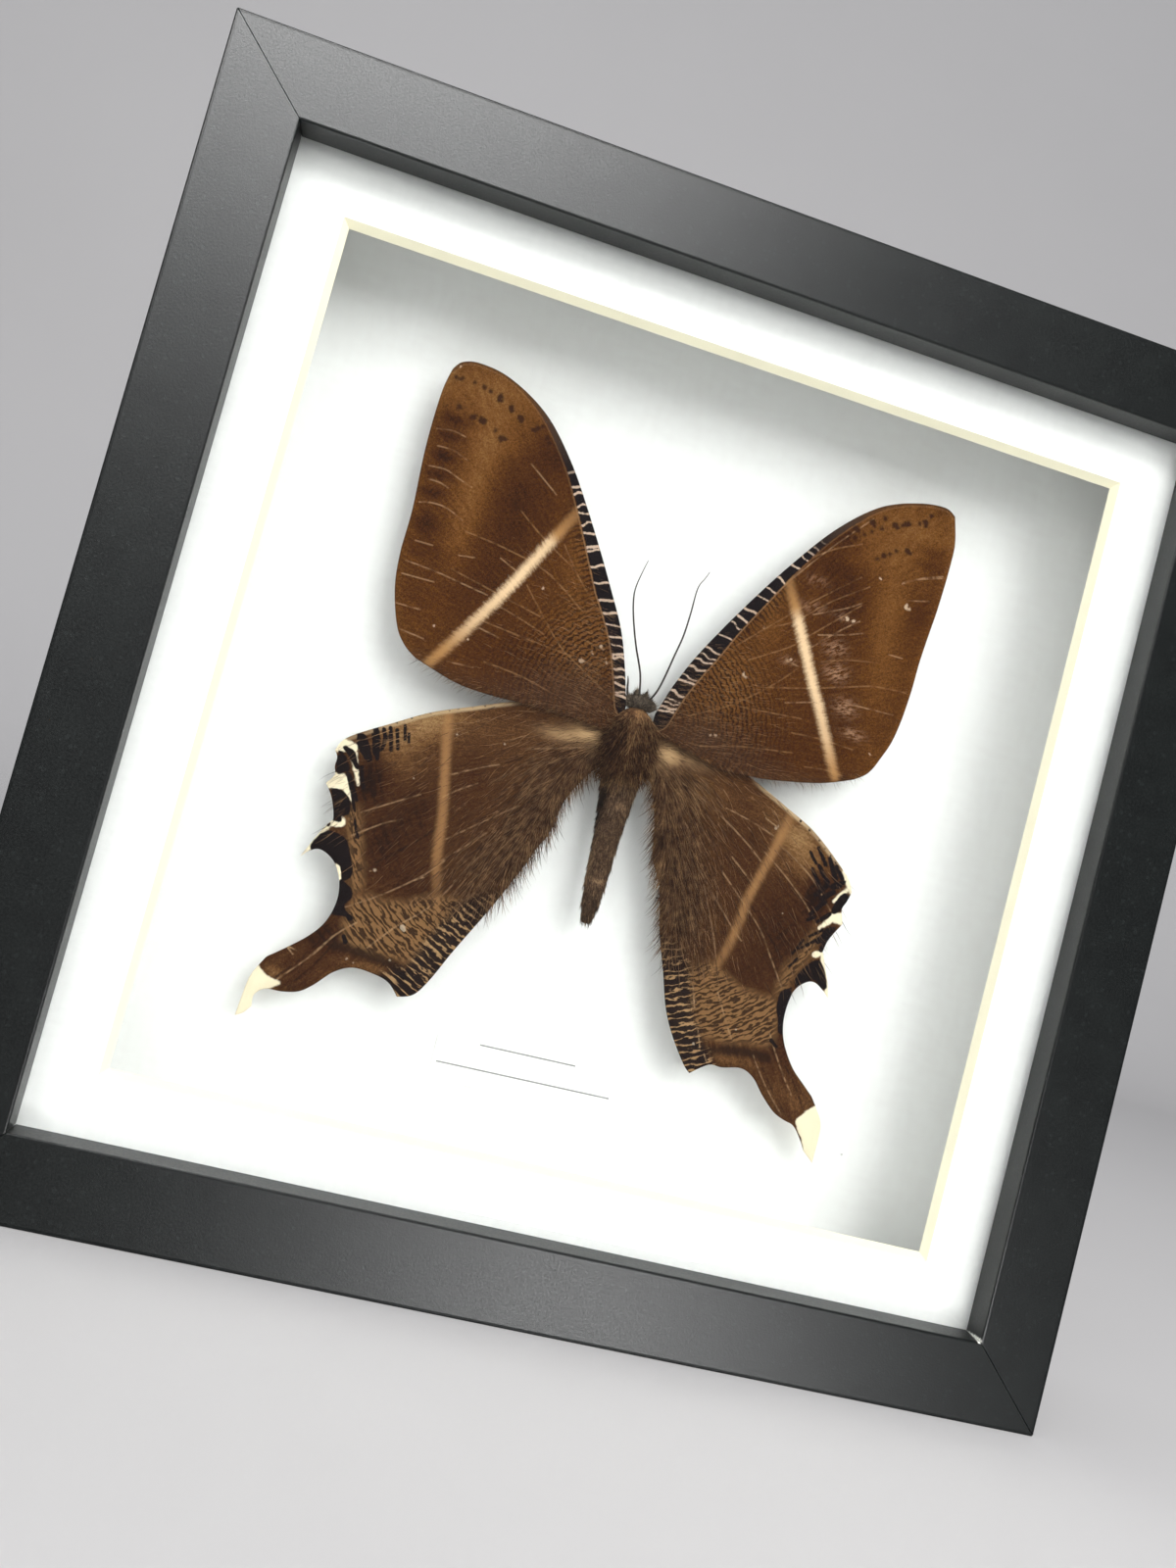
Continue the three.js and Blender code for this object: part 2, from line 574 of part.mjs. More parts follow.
function addMoth() {
  const moth = new THREE.Group();
  moth.position.set(0, WING_Y, HALF);
  moth.rotation.x = Math.PI / 2;
  part.add(moth);

  const clearRadii = THORAX_RADII.map((radius) => radius + CLEARANCE);
  const thoraxTrim = solidOf(ellipsoid(THORAX_CENTRE, clearRadii, 24, 16));
  const abdomen = solidOf(abdomenGeometry()).subtract(thoraxTrim);
  const headTrim = headSolid(CLEARANCE);

  const thoraxUnderside = THORAX_CENTRE[2] - THORAX_RADII[2];
  const pinTop = thoraxUnderside + PIN_INTO_THORAX;
  const pinBottom = BOARD_Z_IN_MOTH - PIN_INTO_BOARD;
  const pinPocket = new THREE.CylinderGeometry(
    PIN_RADIUS + CLEARANCE,
    PIN_RADIUS + CLEARANCE,
    2 * PIN_INTO_THORAX,
    12,
  );
  pinPocket.rotateX(Math.PI / 2);
  pinPocket.translate(THORAX_CENTRE[0], THORAX_CENTRE[1], pinTop + CLEARANCE - PIN_INTO_THORAX);
  const thorax = solidOf(ellipsoid(THORAX_CENTRE, THORAX_RADII, 24, 16)).subtract(solidOf(pinPocket));
  place(moth, 'thorax', geometryOf(thorax), thoraxHair);
  place(moth, 'head', geometryOf(headSolid(0).subtract(thoraxTrim)), headScales);
  place(moth, 'abdomen', geometryOf(abdomen), abdomenScales);

  const bodyTrim = thoraxTrim.add(headTrim);
  const hindZ = -WING_STEP;
  place(moth, 'forewing_left', wingGeometry(FOREWING_LEFT, 0, bodyTrim), foreScales);
  place(moth, 'forewing_right', wingGeometry(FOREWING_RIGHT, 0, bodyTrim), foreScales);
  place(moth, 'hindwing_left', wingGeometry(HINDWING_LEFT, hindZ, bodyTrim), hindScales);
  place(moth, 'hindwing_right', wingGeometry(HINDWING_RIGHT, hindZ, bodyTrim), hindScales);

  const limbs = [
    ['antenna_left', ANTENNA_LEFT, FEELER_RADIUS],
    ['antenna_right', ANTENNA_RIGHT, FEELER_RADIUS],
    ['foreleg_left', FORELEG_LEFT, LEG_RADIUS],
  ];
  limbs.forEach(([name, points, radius]) => {
    const limb = solidOf(limbGeometry(points, radius, 2)).subtract(bodyTrim);
    place(moth, name, geometryOf(limb), darkLimb);
  });

  const pin = new THREE.CylinderGeometry(PIN_RADIUS, PIN_RADIUS, pinTop - pinBottom, 10);
  pin.rotateX(Math.PI / 2);
  pin.translate(THORAX_CENTRE[0], THORAX_CENTRE[1], (pinTop + pinBottom) / 2);
  place(moth, 'specimen_pin', pin, zincSteel);
}

addFrame();
addLayers();
addBack();
addMoth();

export default part;
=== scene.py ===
import math

import bmesh
import bpy
import numpy as np
from mathutils import Matrix, Vector
from mathutils.geometry import delaunay_2d_cdt


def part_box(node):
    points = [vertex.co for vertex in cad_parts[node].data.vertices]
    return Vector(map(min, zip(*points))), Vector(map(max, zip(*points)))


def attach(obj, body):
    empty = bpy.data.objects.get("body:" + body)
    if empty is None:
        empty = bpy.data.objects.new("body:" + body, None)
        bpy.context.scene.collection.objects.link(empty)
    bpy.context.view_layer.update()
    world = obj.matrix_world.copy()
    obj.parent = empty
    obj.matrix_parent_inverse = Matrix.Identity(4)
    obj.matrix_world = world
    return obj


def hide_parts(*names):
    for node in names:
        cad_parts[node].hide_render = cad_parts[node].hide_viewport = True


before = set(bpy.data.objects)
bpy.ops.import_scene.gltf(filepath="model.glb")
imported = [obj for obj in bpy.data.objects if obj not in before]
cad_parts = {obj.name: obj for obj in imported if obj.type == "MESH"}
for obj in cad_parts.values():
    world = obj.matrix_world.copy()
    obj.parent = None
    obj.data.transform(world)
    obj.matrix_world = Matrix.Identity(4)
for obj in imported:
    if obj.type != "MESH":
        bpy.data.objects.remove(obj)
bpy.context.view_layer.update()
scene = bpy.context.scene
mm = 0.001

# The moth is laid out in mm from the middle of the case: x right, y up, z towards the glass
boardLow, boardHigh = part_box("mount_board")
caseCentre = (boardLow + boardHigh) / 2
wingGap = 8.3  # forewings above the board
wingPlane = boardLow.y - wingGap * mm


def toWorld(points):
    points = np.asarray(points, float)
    x = caseCentre.x + points[:, 0] * mm
    y = wingPlane - points[:, 2] * mm
    z = caseCentre.z + points[:, 1] * mm
    return np.stack([x, y, z], 1)


def toWorldDirection(vectors):
    return np.stack([vectors[:, 0], -vectors[:, 2], vectors[:, 1]], 1)


def shade(code):  # hex as seen on screen, to the linear colour that shaders take
    channels = [int(code[i:i + 2], 16) / 255 for i in (0, 2, 4)]
    return tuple(c / 12.92 if c <= 0.04045 else ((c + 0.055) / 1.055) ** 2.4 for c in channels) + (1.0,)


# Node wiring

class NodeBench:
    def __init__(self, tree):
        self.tree = tree

    def plug(self, socket, value):
        if isinstance(value, bpy.types.NodeSocket):
            self.tree.links.new(value, socket)
        elif value is not None:
            socket.default_value = value

    def node(self, kind, inputs=None, **settings):
        made = self.tree.nodes.new(kind)
        for key, value in settings.items():
            setattr(made, key, value)
        for key, value in (inputs or {}).items():
            self.plug(made.inputs[key], value)
        return made

    def math(self, operation, a, b=None, c=None):
        return self.node("ShaderNodeMath", {0: a, 1: b, 2: c}, operation=operation).outputs[0]

    def times(self, a, b):
        return self.math("MULTIPLY", a, b)

    def sway(self, wave, amount, base):  # base moved to both sides by a wave about a half
        return self.math("MULTIPLY_ADD", self.math("SUBTRACT", wave, 0.5), amount, base)

    def vector(self, operation, a, b=None):
        made = self.node("ShaderNodeVectorMath", {0: a, 1: b}, operation=operation)
        return made.outputs["Value" if operation in ("LENGTH", "DISTANCE", "DOT_PRODUCT") else "Vector"]

    def mix(self, factor, a, b, blend="MIX"):
        made = self.node("ShaderNodeMix", {0: factor, 6: a, 7: b}, data_type="RGBA", blend_type=blend)
        return made.outputs[2]

    def noise(self, coord, scale, detail=2.0, roughness=0.5):
        inputs = {"Vector": coord, "Scale": scale, "Detail": detail, "Roughness": roughness}
        return self.node("ShaderNodeTexNoise", inputs).outputs["Fac"]

    def ease(self, value, low, high, start=0.0, end=1.0):  # smooth step from start to end
        inputs = {0: value, 1: low, 2: high, 3: start, 4: end}
        return self.node("ShaderNodeMapRange", inputs, interpolation_type="SMOOTHSTEP").outputs[0]

    def ramp(self, value, stops):
        made = self.node("ShaderNodeValToRGB", {"Fac": value})
        elements = made.color_ramp.elements
        while len(elements) < len(stops):
            elements.new(0.5)
        for element, (place, code) in zip(elements, stops):
            element.position = place
            element.color = shade(code)
        return made.outputs["Color"]

    def attribute(self, name, output="Fac"):
        return self.node("ShaderNodeAttribute", attribute_name=name).outputs[output]

    def mapping(self, coord, move=(0, 0, 0), turn=(0, 0, 0), size=(1, 1, 1)):
        inputs = {"Vector": coord, "Location": move, "Rotation": turn, "Scale": size}
        return self.node("ShaderNodeMapping", inputs).outputs[0]

    def split(self, coord):
        return self.node("ShaderNodeSeparateXYZ", {0: coord}).outputs

    def group(self, tree, **inputs):
        made = self.node("ShaderNodeGroup", node_tree=tree)
        for key, value in inputs.items():
            self.plug(made.inputs[key], value)
        return made.outputs

    def marking(self, coord, field, blur, wander, grain):  # mask of a marking kept as a distance
        inputs = {"Coord": coord, "Distance": self.attribute(field), "Blur": blur, "Wander": wander}
        return self.group(edgeMask, Grain=grain, **inputs)["Mask"]

    def bump(self, height, strength, distance):
        inputs = {"Height": height, "Strength": strength, "Distance": distance}
        return self.node("ShaderNodeBump", inputs).outputs[0]


def shaderGroup(name, inputs, outputs):
    tree = bpy.data.node_groups.new(name, "ShaderNodeTree")
    for label, kind, value in inputs:
        socket = tree.interface.new_socket(label, in_out="INPUT", socket_type="NodeSocket" + kind)
        if value is not None:
            socket.default_value = value
    for label in outputs:
        tree.interface.new_socket(label, in_out="OUTPUT", socket_type="NodeSocketFloat")
    bench = NodeBench(tree)
    return tree, bench, bench.node("NodeGroupInput").outputs, bench.node("NodeGroupOutput").inputs


def newMaterial(name, **sockets):
    material = bpy.data.materials.new(name)
    material.use_nodes = True
    tree = material.node_tree
    tree.nodes.clear()
    bench = NodeBench(tree)
    shader = bench.node("ShaderNodeBsdfPrincipled")
    for key, value in sockets.items():
        shader.inputs[key.replace("_", " ")].default_value = value
    output = bench.node("ShaderNodeOutputMaterial")
    tree.links.new(shader.outputs[0], output.inputs["Surface"])
    coord = bench.node("ShaderNodeTexCoord").outputs["Object"]
    return material, bench, shader, coord


def dress(names, material):  # a finish for CAD pieces that stay
    for name in names:
        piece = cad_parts[name]
        piece.data.materials.clear()
        piece.data.materials.append(material)


# Effects that several finishes share

def makeEdgeMask():  # 1 inside a marking whose signed distance is given, with a wandering edge
    inputs = [("Coord", "Vector", None), ("Distance", "Float", 0.0), ("Blur", "Float", 0.1),
              ("Wander", "Float", 0.1), ("Grain", "Float", 2000.0)]
    tree, bench, given, out = shaderGroup("edge_mask", inputs, ["Mask"])
    drift = bench.math("SUBTRACT", bench.noise(given["Coord"], given["Grain"], 3.0), 0.5)
    moved = bench.math("MULTIPLY_ADD", drift, given["Wander"], given["Distance"])
    low = bench.times(given["Blur"], -1.0)
    bench.plug(out["Mask"], bench.ease(moved, low, given["Blur"], 1.0, 0.0))
    return tree


def makeStriae():  # broken wavy lines that run in arcs about the wing's root
    inputs = [("Polar", "Vector", None), ("Spacing", "Float", 1.0), ("Wobble", "Float", 1.0),
              ("Fill", "Float", 0.4), ("Breaks", "Float", 0.8)]
    tree, bench, given, out = shaderGroup("striae", inputs, ["Mask"])
    radius = bench.split(given["Polar"])[0]
    stretched = bench.mapping(given["Polar"], size=(0.8, 0.5, 1))
    drift = bench.math("SUBTRACT", bench.noise(stretched, 1.0, 2.0), 0.5)
    waved = bench.math("MULTIPLY_ADD", drift, given["Wobble"], radius)
    phase = bench.math("FRACT", bench.math("DIVIDE", waved, given["Spacing"]))
    tent = bench.times(bench.math("ABSOLUTE", bench.math("SUBTRACT", phase, 0.5)), 2.0)
    longCells = bench.mapping(given["Polar"], size=(1.9, 1.1, 1))
    breakup = bench.math("SUBTRACT", bench.noise(longCells, 1.0, 3.0, 0.6), 0.5)
    level = bench.math("MULTIPLY_ADD", breakup, given["Breaks"], tent)
    low = bench.math("SUBTRACT", given["Fill"], 0.16)
    high = bench.math("ADD", given["Fill"], 0.16)
    bench.plug(out["Mask"], bench.ease(level, low, high, 1.0, 0.0))
    return tree


def makeScaleGrain():  # the dusty grain of wing scales
    inputs = [("Coord", "Vector", None), ("Cells", "Float", 7000.0)]
    tree, bench, given, out = shaderGroup("scale_grain", inputs, ["Speckle", "Height"])
    cells = bench.node("ShaderNodeTexVoronoi", {"Vector": given["Coord"], "Scale": given["Cells"]})
    coarse = bench.noise(given["Coord"], bench.times(given["Cells"], 0.3), 4.0, 0.65)
    tint = bench.split(cells.outputs["Color"])[0]
    bench.plug(out["Speckle"], bench.math("MULTIPLY_ADD", tint, 0.35, bench.times(coarse, 0.65)))
    bench.plug(out["Height"], bench.math("ADD", cells.outputs["Distance"], coarse))
    return tree


def makeFibre():  # paper and board fibres
    inputs = [("Coord", "Vector", None), ("Scale", "Float", 900.0)]
    tree, bench, given, out = shaderGroup("fibre", inputs, ["Value"])
    across = bench.noise(bench.mapping(given["Coord"], size=(0.25, 1, 1)), given["Scale"], 4.0, 0.6)
    along = bench.noise(bench.mapping(given["Coord"], size=(1, 1, 0.25)), given["Scale"], 4.0, 0.6)
    bench.plug(out["Value"], bench.times(bench.math("ADD", across, along), 0.5))
    return tree


def makeDust():  # scattered specks of different size
    inputs = [("Coord", "Vector", None), ("Cells", "Float", 120.0), ("Share", "Float", 0.2),
              ("Size", "Float", 0.06)]
    tree, bench, given, out = shaderGroup("dust", inputs, ["Mask"])
    cells = bench.node("ShaderNodeTexVoronoi", {"Vector": given["Coord"], "Scale": given["Cells"]})
    draw = bench.split(cells.outputs["Color"])
    size = bench.times(given["Size"], bench.math("ADD", draw[1], 0.25))
    speck = bench.math("LESS_THAN", cells.outputs["Distance"], size)
    chosen = bench.math("LESS_THAN", draw[0], given["Share"])
    bench.plug(out["Mask"], bench.times(speck, chosen))
    return tree


edgeMask = makeEdgeMask()
striae = makeStriae()
scaleGrain = makeScaleGrain()
fibre = makeFibre()
dust = makeDust()
print("effect groups ready")

# Camera, light and floor

cameraView = {
    "place": (-0.04646, -0.2383, 0.08036),
    "right": (0.9502, -0.1728, 0.2593),
    "up": (-0.2648, -0.0089, 0.9643),
    "lens": 29.8,
    "sensor": 36.0,
}


def makeCamera():
    data = bpy.data.cameras.new("photo_view")
    data.lens = cameraView["lens"]
    data.sensor_width = cameraView["sensor"]
    data.clip_start = 0.01
    camera = bpy.data.objects.new("photo_view", data)
    right = Vector(cameraView["right"]).normalized()
    back = right.cross(Vector(cameraView["up"])).normalized()
    up = back.cross(right)
    turn = Matrix((right, up, back)).transposed()
    camera.matrix_world = Matrix.Translation(cameraView["place"]) @ turn.to_4x4()
    scene.collection.objects.link(camera)
    scene.camera = camera


studioLights = [  # place, aim, size, watts, whether it only makes reflections
    ("key_light", (0.34, -0.78, 0.50), (0.0, 0.0, 0.10), (0.66, 0.66), 9.2, False),
    ("top_sheen", (-0.19, -0.42, 0.49), (-0.08, -0.02, 0.19), (0.46, 0.15), 4.6, True),
    ("low_sheen", (0.11, -0.42, -0.13), (0.02, -0.02, 0.007), (0.13, 0.09), 0.9, True),
    ("front_fill", (-0.40, -0.95, 0.08), (0.0, 0.0, 0.10), (0.7, 0.7), 4.2, False),
]
worldTone = {"colour": (0.93, 0.95, 1.0, 1.0), "strength": 0.58, "mirrored": 0.10}


def makeLights():
    for name, place, aim, size, watts, sheen in studioLights:
        data = bpy.data.lights.new(name, "AREA")
        data.shape = "RECTANGLE"
        data.size, data.size_y = size
        data.energy = watts
        light = bpy.data.objects.new(name, data)
        light.location = place
        light.rotation_euler = (Vector(aim) - Vector(place)).to_track_quat("-Z", "Y").to_euler()
        light.visible_glossy = sheen
        light.visible_diffuse = not sheen
        light.visible_transmission = False
        scene.collection.objects.link(light)
    world = bpy.data.worlds.new("studio")
    world.use_nodes = True
    sky = world.node_tree.nodes["Background"]
    sky.inputs["Color"].default_value = worldTone["colour"]
    bench = NodeBench(world.node_tree)
    path = bench.node("ShaderNodeLightPath").outputs
    mirrored = bench.math("MAXIMUM", path["Is Glossy Ray"], path["Is Transmission Ray"])
    drop = worldTone["mirrored"] - worldTone["strength"]
    bench.plug(sky.inputs["Strength"], bench.math("MULTIPLY_ADD", mirrored, drop, worldTone["strength"]))
    scene.world = world
    scene.view_settings.view_transform = "Standard"


stageFloor = {"half": 2.5, "front": -2.0, "back": 0.7, "round": 0.5, "height": 3.0, "colour": "cfcdcc",
              "patches": "d6d4d3"}


def makeFloor():
    s = stageFloor
    arc = [(s["back"] + s["round"] * math.sin(a), s["round"] * (1 - math.cos(a)))
           for a in np.linspace(0, math.pi / 2, 13)]
    profile = [(s["front"], 0.0)] + arc + [(s["back"] + s["round"], s["height"])]
    vertices = [(x, y, z) for y, z in profile for x in (-s["half"], s["half"])]
    faces = [(2 * i, 2 * i + 1, 2 * i + 3, 2 * i + 2) for i in range(len(profile) - 1)]
    mesh = bpy.data.meshes.new("floor")
    mesh.from_pydata(vertices, [], faces)
    mesh.shade_smooth()
    floor = bpy.data.objects.new("floor", mesh)
    scene.collection.objects.link(floor)
    material, bench, shader, coord = newMaterial("pale_floor", Roughness=0.75)
    cloud = bench.noise(coord, 3.0, 4.0)
    tone = bench.mix(cloud, shade(s["colour"]), shade(s["patches"]))
    bench.plug(shader.inputs["Base Color"], tone)
    mesh.materials.append(material)
    floor.visible_glossy = floor.visible_transmission = False  # keeps the floor's glare off the glass
    floor.visible_shadow = False  # lets the low sheen through


makeCamera()
makeLights()
makeFloor()
print("camera, light and floor ready")

# Frame and case finishes

paintLook = {
    "dark": "070a0a",
    "light": "141817",
    "roughness": (0.33, 0.45),
    "chipFrom": (0.0853, -0.0197, 0.0147),  # pale split across the inner bottom right mitre
    "chipTo": (0.0859, -0.0146, 0.0143),
    "chipHalf": 0.00034,
}


def blackPaint():
    material, bench, shader, coord = newMaterial("black_paint", Specular_IOR_Level=0.55)
    fine = bench.noise(coord, 2600.0, 3.0, 0.7)
    cloud = bench.noise(coord, 160.0, 4.0, 0.6)
    pores = bench.group(dust, Coord=coord, Cells=1100.0, Share=0.35, Size=0.32)["Mask"]
    blend = bench.math("MULTIPLY_ADD", fine, 0.6, bench.times(cloud, 0.4))
    colour = bench.mix(bench.ease(blend, 0.3, 0.75), shade(paintLook["dark"]), shade(paintLook["light"]))
    colour = bench.mix(bench.times(pores, 0.14), colour, shade("2f3635"))
    specks = bench.group(dust, Coord=coord, Cells=75.0, Share=0.05, Size=0.02)["Mask"]
    colour = bench.mix(bench.times(specks, 0.6), colour, shade("b9bcb6"))

    start = Vector(paintLook["chipFrom"])
    run = Vector(paintLook["chipTo"]) - start
    offset = bench.vector("SUBTRACT", coord, tuple(start))
    share = bench.math("DIVIDE", bench.vector("DOT_PRODUCT", offset, tuple(run)), run.length_squared)
    share = bench.math("MINIMUM", bench.math("MAXIMUM", share, 0.0), 1.0)
    foot = bench.node("ShaderNodeVectorMath", {0: tuple(run), "Scale": share}, operation="SCALE").outputs[0]
    away = bench.vector("DISTANCE", offset, foot)
    ragged = bench.math("MULTIPLY_ADD", bench.noise(coord, 2200.0, 3.0), 0.0007, away)
    chip = bench.ease(ragged, paintLook["chipHalf"] * 1.6, paintLook["chipHalf"] * 2.6, 1.0, 0.0)
    colour = bench.mix(chip, colour, shade("f7f7ee"))
    bench.plug(shader.inputs["Base Color"], colour)
    low, high = paintLook["roughness"]
    bench.plug(shader.inputs["Roughness"], bench.ease(fine, 0.25, 0.75, low, high))
    height = bench.math("ADD", fine, bench.times(pores, -0.5))
    bench.plug(shader.inputs["Normal"], bench.bump(height, 0.22, 0.00012))
    return material


def clearGlass():
    material, bench, shader, _ = newMaterial(
        "clear_glass", Transmission_Weight=1.0, Roughness=0.0, IOR=1.45, Base_Color=(0.985, 0.995, 0.99, 1.0),
        Specular_IOR_Level=0.4)
    output = next(n for n in material.node_tree.nodes if n.type == "OUTPUT_MATERIAL")
    clear = bench.node("ShaderNodeBsdfTransparent", {"Color": (0.98, 0.99, 0.985, 1.0)})
    path = bench.node("ShaderNodeLightPath").outputs
    both = bench.node("ShaderNodeMixShader",
                      {0: path["Is Shadow Ray"], 1: shader.outputs[0], 2: clear.outputs[0]})
    bench.plug(output.inputs["Surface"], both.outputs[0])
    return material


matLook = {"face": "f4f4f2", "core": "efe9cf", "windowHalf": 0.0742, "bevel": 0.0012}


def whiteCard(name, face, tooth, core=None):
    material, bench, shader, coord = newMaterial(name, Roughness=0.85, Specular_IOR_Level=0.3)
    fibres = bench.group(fibre, Coord=coord, Scale=tooth)["Value"]
    colour = bench.mix(bench.ease(fibres, 0.3, 0.7), shade("eeeeec"), shade(face))
    specks = bench.group(dust, Coord=coord, Cells=95.0, Share=0.1, Size=0.022)["Mask"]
    colour = bench.mix(bench.times(specks, 0.45), colour, shade("8d8a84"))
    if core:  # the cut edge round the window shows the core
        place = bench.split(bench.vector("SUBTRACT", coord, tuple(caseCentre)))
        reach = bench.math("MAXIMUM", bench.math("ABSOLUTE", place[0]), bench.math("ABSOLUTE", place[2]))
        edge = bench.math("LESS_THAN", reach, matLook["windowHalf"] + matLook["bevel"] - 0.00001)
        colour = bench.mix(edge, colour, shade(core))
    bench.plug(shader.inputs["Base Color"], colour)
    bench.plug(shader.inputs["Normal"], bench.bump(fibres, 0.12, 0.0001))
    return material


labelLook = {
    "paper": "fbfbf9",
    "ink": "8a8a88",
    "tilt": 0.9,
    "lines": [(-0.0015, 0.0034, 0.0095), (-0.0012, -0.0013, 0.0172)],  # middle x, height, half length
    "halfWidth": 0.00016,
}


def ruledPaper():
    material, bench, shader, coord = newMaterial("label_paper", Roughness=0.8, Specular_IOR_Level=0.3)
    low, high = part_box("specimen_label")
    middle = (low + high) / 2
    centred = bench.vector("SUBTRACT", coord, tuple(middle))
    level = bench.mapping(centred, turn=(0, math.radians(labelLook["tilt"]), 0))
    x, _, z = bench.split(level)
    fibres = bench.group(fibre, Coord=coord, Scale=1800.0)["Value"]
    colour = bench.mix(fibres, shade("f1f1ee"), shade(labelLook["paper"]))
    for middleX, height, half in labelLook["lines"]:
        across = bench.math("ABSOLUTE", bench.math("SUBTRACT", x, middleX))
        above = bench.math("ABSOLUTE", bench.math("SUBTRACT", z, height))
        width = labelLook["halfWidth"]
        line = bench.times(bench.ease(above, width * 0.7, width * 1.3, 1.0, 0.0),
                          bench.math("LESS_THAN", across, half))
        worn = bench.times(line, bench.ease(bench.noise(coord, 5000.0), 0.2, 0.5, 0.6, 1.0))
        colour = bench.mix(worn, colour, shade(labelLook["ink"]))
    bench.plug(shader.inputs["Base Color"], colour)
    bench.plug(shader.inputs["Normal"], bench.bump(fibres, 0.1, 0.00005))
    return material


def rawHardboard():
    material, bench, shader, coord = newMaterial("hardboard", Roughness=0.7)
    fibres = bench.group(fibre, Coord=coord, Scale=500.0)["Value"]
    cloud = bench.noise(coord, 60.0, 5.0, 0.6)
    colour = bench.ramp(bench.math("MULTIPLY_ADD", cloud, 0.4, bench.times(fibres, 0.6)),
                        [(0.3, "4a2f1b"), (0.5, "6a4729"), (0.7, "83603c")])
    bench.plug(shader.inputs["Base Color"], colour)
    bench.plug(shader.inputs["Normal"], bench.bump(fibres, 0.4, 0.0002))
    return material


def zincPlate():
    material, bench, shader, coord = newMaterial("zinc_steel", Metallic=1.0)
    brushed = bench.noise(bench.mapping(coord, size=(1, 1, 0.1)), 3000.0, 3.0, 0.6)
    spangle = bench.node("ShaderNodeTexVoronoi", {"Vector": coord, "Scale": 700.0}).outputs["Distance"]
    blend = bench.math("MULTIPLY_ADD", spangle, 0.5, bench.times(brushed, 0.5))
    bench.plug(shader.inputs["Base Color"], bench.mix(blend, shade("8f9192"), shade("c9cac8")))
    bench.plug(shader.inputs["Roughness"], bench.ease(blend, 0.2, 0.8, 0.28, 0.5))
    bench.plug(shader.inputs["Normal"], bench.bump(brushed, 0.1, 0.00005))
    return material


sides = ("bottom", "left", "top", "right")
dress([f"frame_rail_{side}" for side in sides], blackPaint())
dress(["glass_pane"], clearGlass())
dress(["window_mat"], whiteCard("mat_card", matLook["face"], 900.0, matLook["core"]))
dress([f"spacer_{side}" for side in sides] + ["mount_board"], whiteCard("white_board", "f3f4f2", 700.0))
dress(["specimen_label"], ruledPaper())
dress(["back_panel"], rawHardboard())
tabs = [f"retaining_tab_{side}_{number}" for side in sides for number in (1, 2)]
dress(tabs + ["sawtooth_hanger", "hanger_nail_left", "hanger_nail_right", "specimen_pin"], zincPlate())
print("frame and case finished")

# Paths and distances in the moth's flat layout, all in mm

farAway = 99.0  # a distance beyond every marking
pairLimit = 1500000  # point and segment pairs measured at once
arcUnit = 30.0  # mm of arc to a radian in the striae's layout


def smoothPath(points, step):
    points = np.array(points, float)
    last = len(points) - 1
    runs = []
    for i in range(last):
        p0, p1, p2, p3 = points[max(i - 1, 0)], points[i], points[i + 1], points[min(i + 2, last)]
        count = max(1, math.ceil(np.linalg.norm(p2 - p1) / step))
        t = (np.arange(count) / count)[:, None]
        v0, v1 = (p2 - p0) / 2, (p3 - p1) / 2
        cubic, square = 2 * p1 - 2 * p2 + v0 + v1, 3 * p2 - 3 * p1 - 2 * v0 - v1
        runs.append(cubic * t ** 3 + square * t ** 2 + v0 * t + p1)
    runs.append(points[-1:])
    return np.vstack(runs)


def pathDistance(spots, path):  # distance to a path, and how far along it the nearest point is
    start, run = path[:-1], path[1:] - path[:-1]
    lengths = np.maximum(np.linalg.norm(run, axis=1), 1e-9)
    marks = np.concatenate([[0], np.cumsum(lengths)[:-1]])
    gaps, alongs = [], []
    for part in np.array_split(spots, max(1, len(spots) * len(start) // pairLimit)):
        offset = part[:, None, :] - start
        t = np.clip((offset * run).sum(2) / lengths ** 2, 0, 1)
        gap = np.linalg.norm(offset - t[..., None] * run, axis=2)
        near = gap.argmin(1)
        rows = np.arange(len(part))
        gaps.append(gap[rows, near])
        alongs.append(marks[near] + t[rows, near] * lengths[near])
    return np.concatenate(gaps), np.concatenate(alongs)


def insideRing(spots, ring):
    inside = np.zeros(len(spots), bool)
    x, y = spots[:, 0], spots[:, 1]
    for (x0, y0), (x1, y1) in zip(ring, np.roll(ring, -1, 0)):
        if y0 != y1:
            inside ^= ((y0 > y) != (y1 > y)) & (x < (x1 - x0) * (y - y0) / (y1 - y0) + x0)
    return inside


def patchDistance(spots, corners):  # signed, below 0 inside
    ring = smoothPath(list(corners) + [corners[0]], 0.5)
    return np.where(insideRing(spots, ring[:-1]), -1, 1) * pathDistance(spots, ring)[0]


def strokeDistance(spots, strokes):  # strokes are x0, y0, x1, y1 and the half width at both ends
    nearest = np.full(len(spots), farAway)
    for x0, y0, x1, y1, r0, r1 in strokes:
        start, run = np.array([x0, y0]), np.array([x1 - x0, y1 - y0])
        t = np.clip((spots - start) @ run / max(run @ run, 1e-9), 0, 1)
        gap = np.linalg.norm(spots - start - t[:, None] * run, axis=1) - (r0 + (r1 - r0) * t)
        nearest = np.minimum(nearest, gap)
    return nearest


def dotStrokes(dots):
    return [(x, y, x, y, r, r) for x, y, r in dots]


def pathsDistance(spots, paths):
    nearest = np.full(len(spots), farAway)
    for path in paths:
        nearest = np.minimum(nearest, pathDistance(spots, smoothPath(path, 1.0))[0])
    return nearest


def pools(spots, base, soft):  # a level with soft round rises and dips: x, y, reach x, reach y, amount
    total = np.full(len(spots), float(base))
    for x, y, rx, ry, amount in soft:
        total += amount * np.exp(-((spots[:, 0] - x) / rx) ** 2 - ((spots[:, 1] - y) / ry) ** 2)
    return total


# Wing sheets

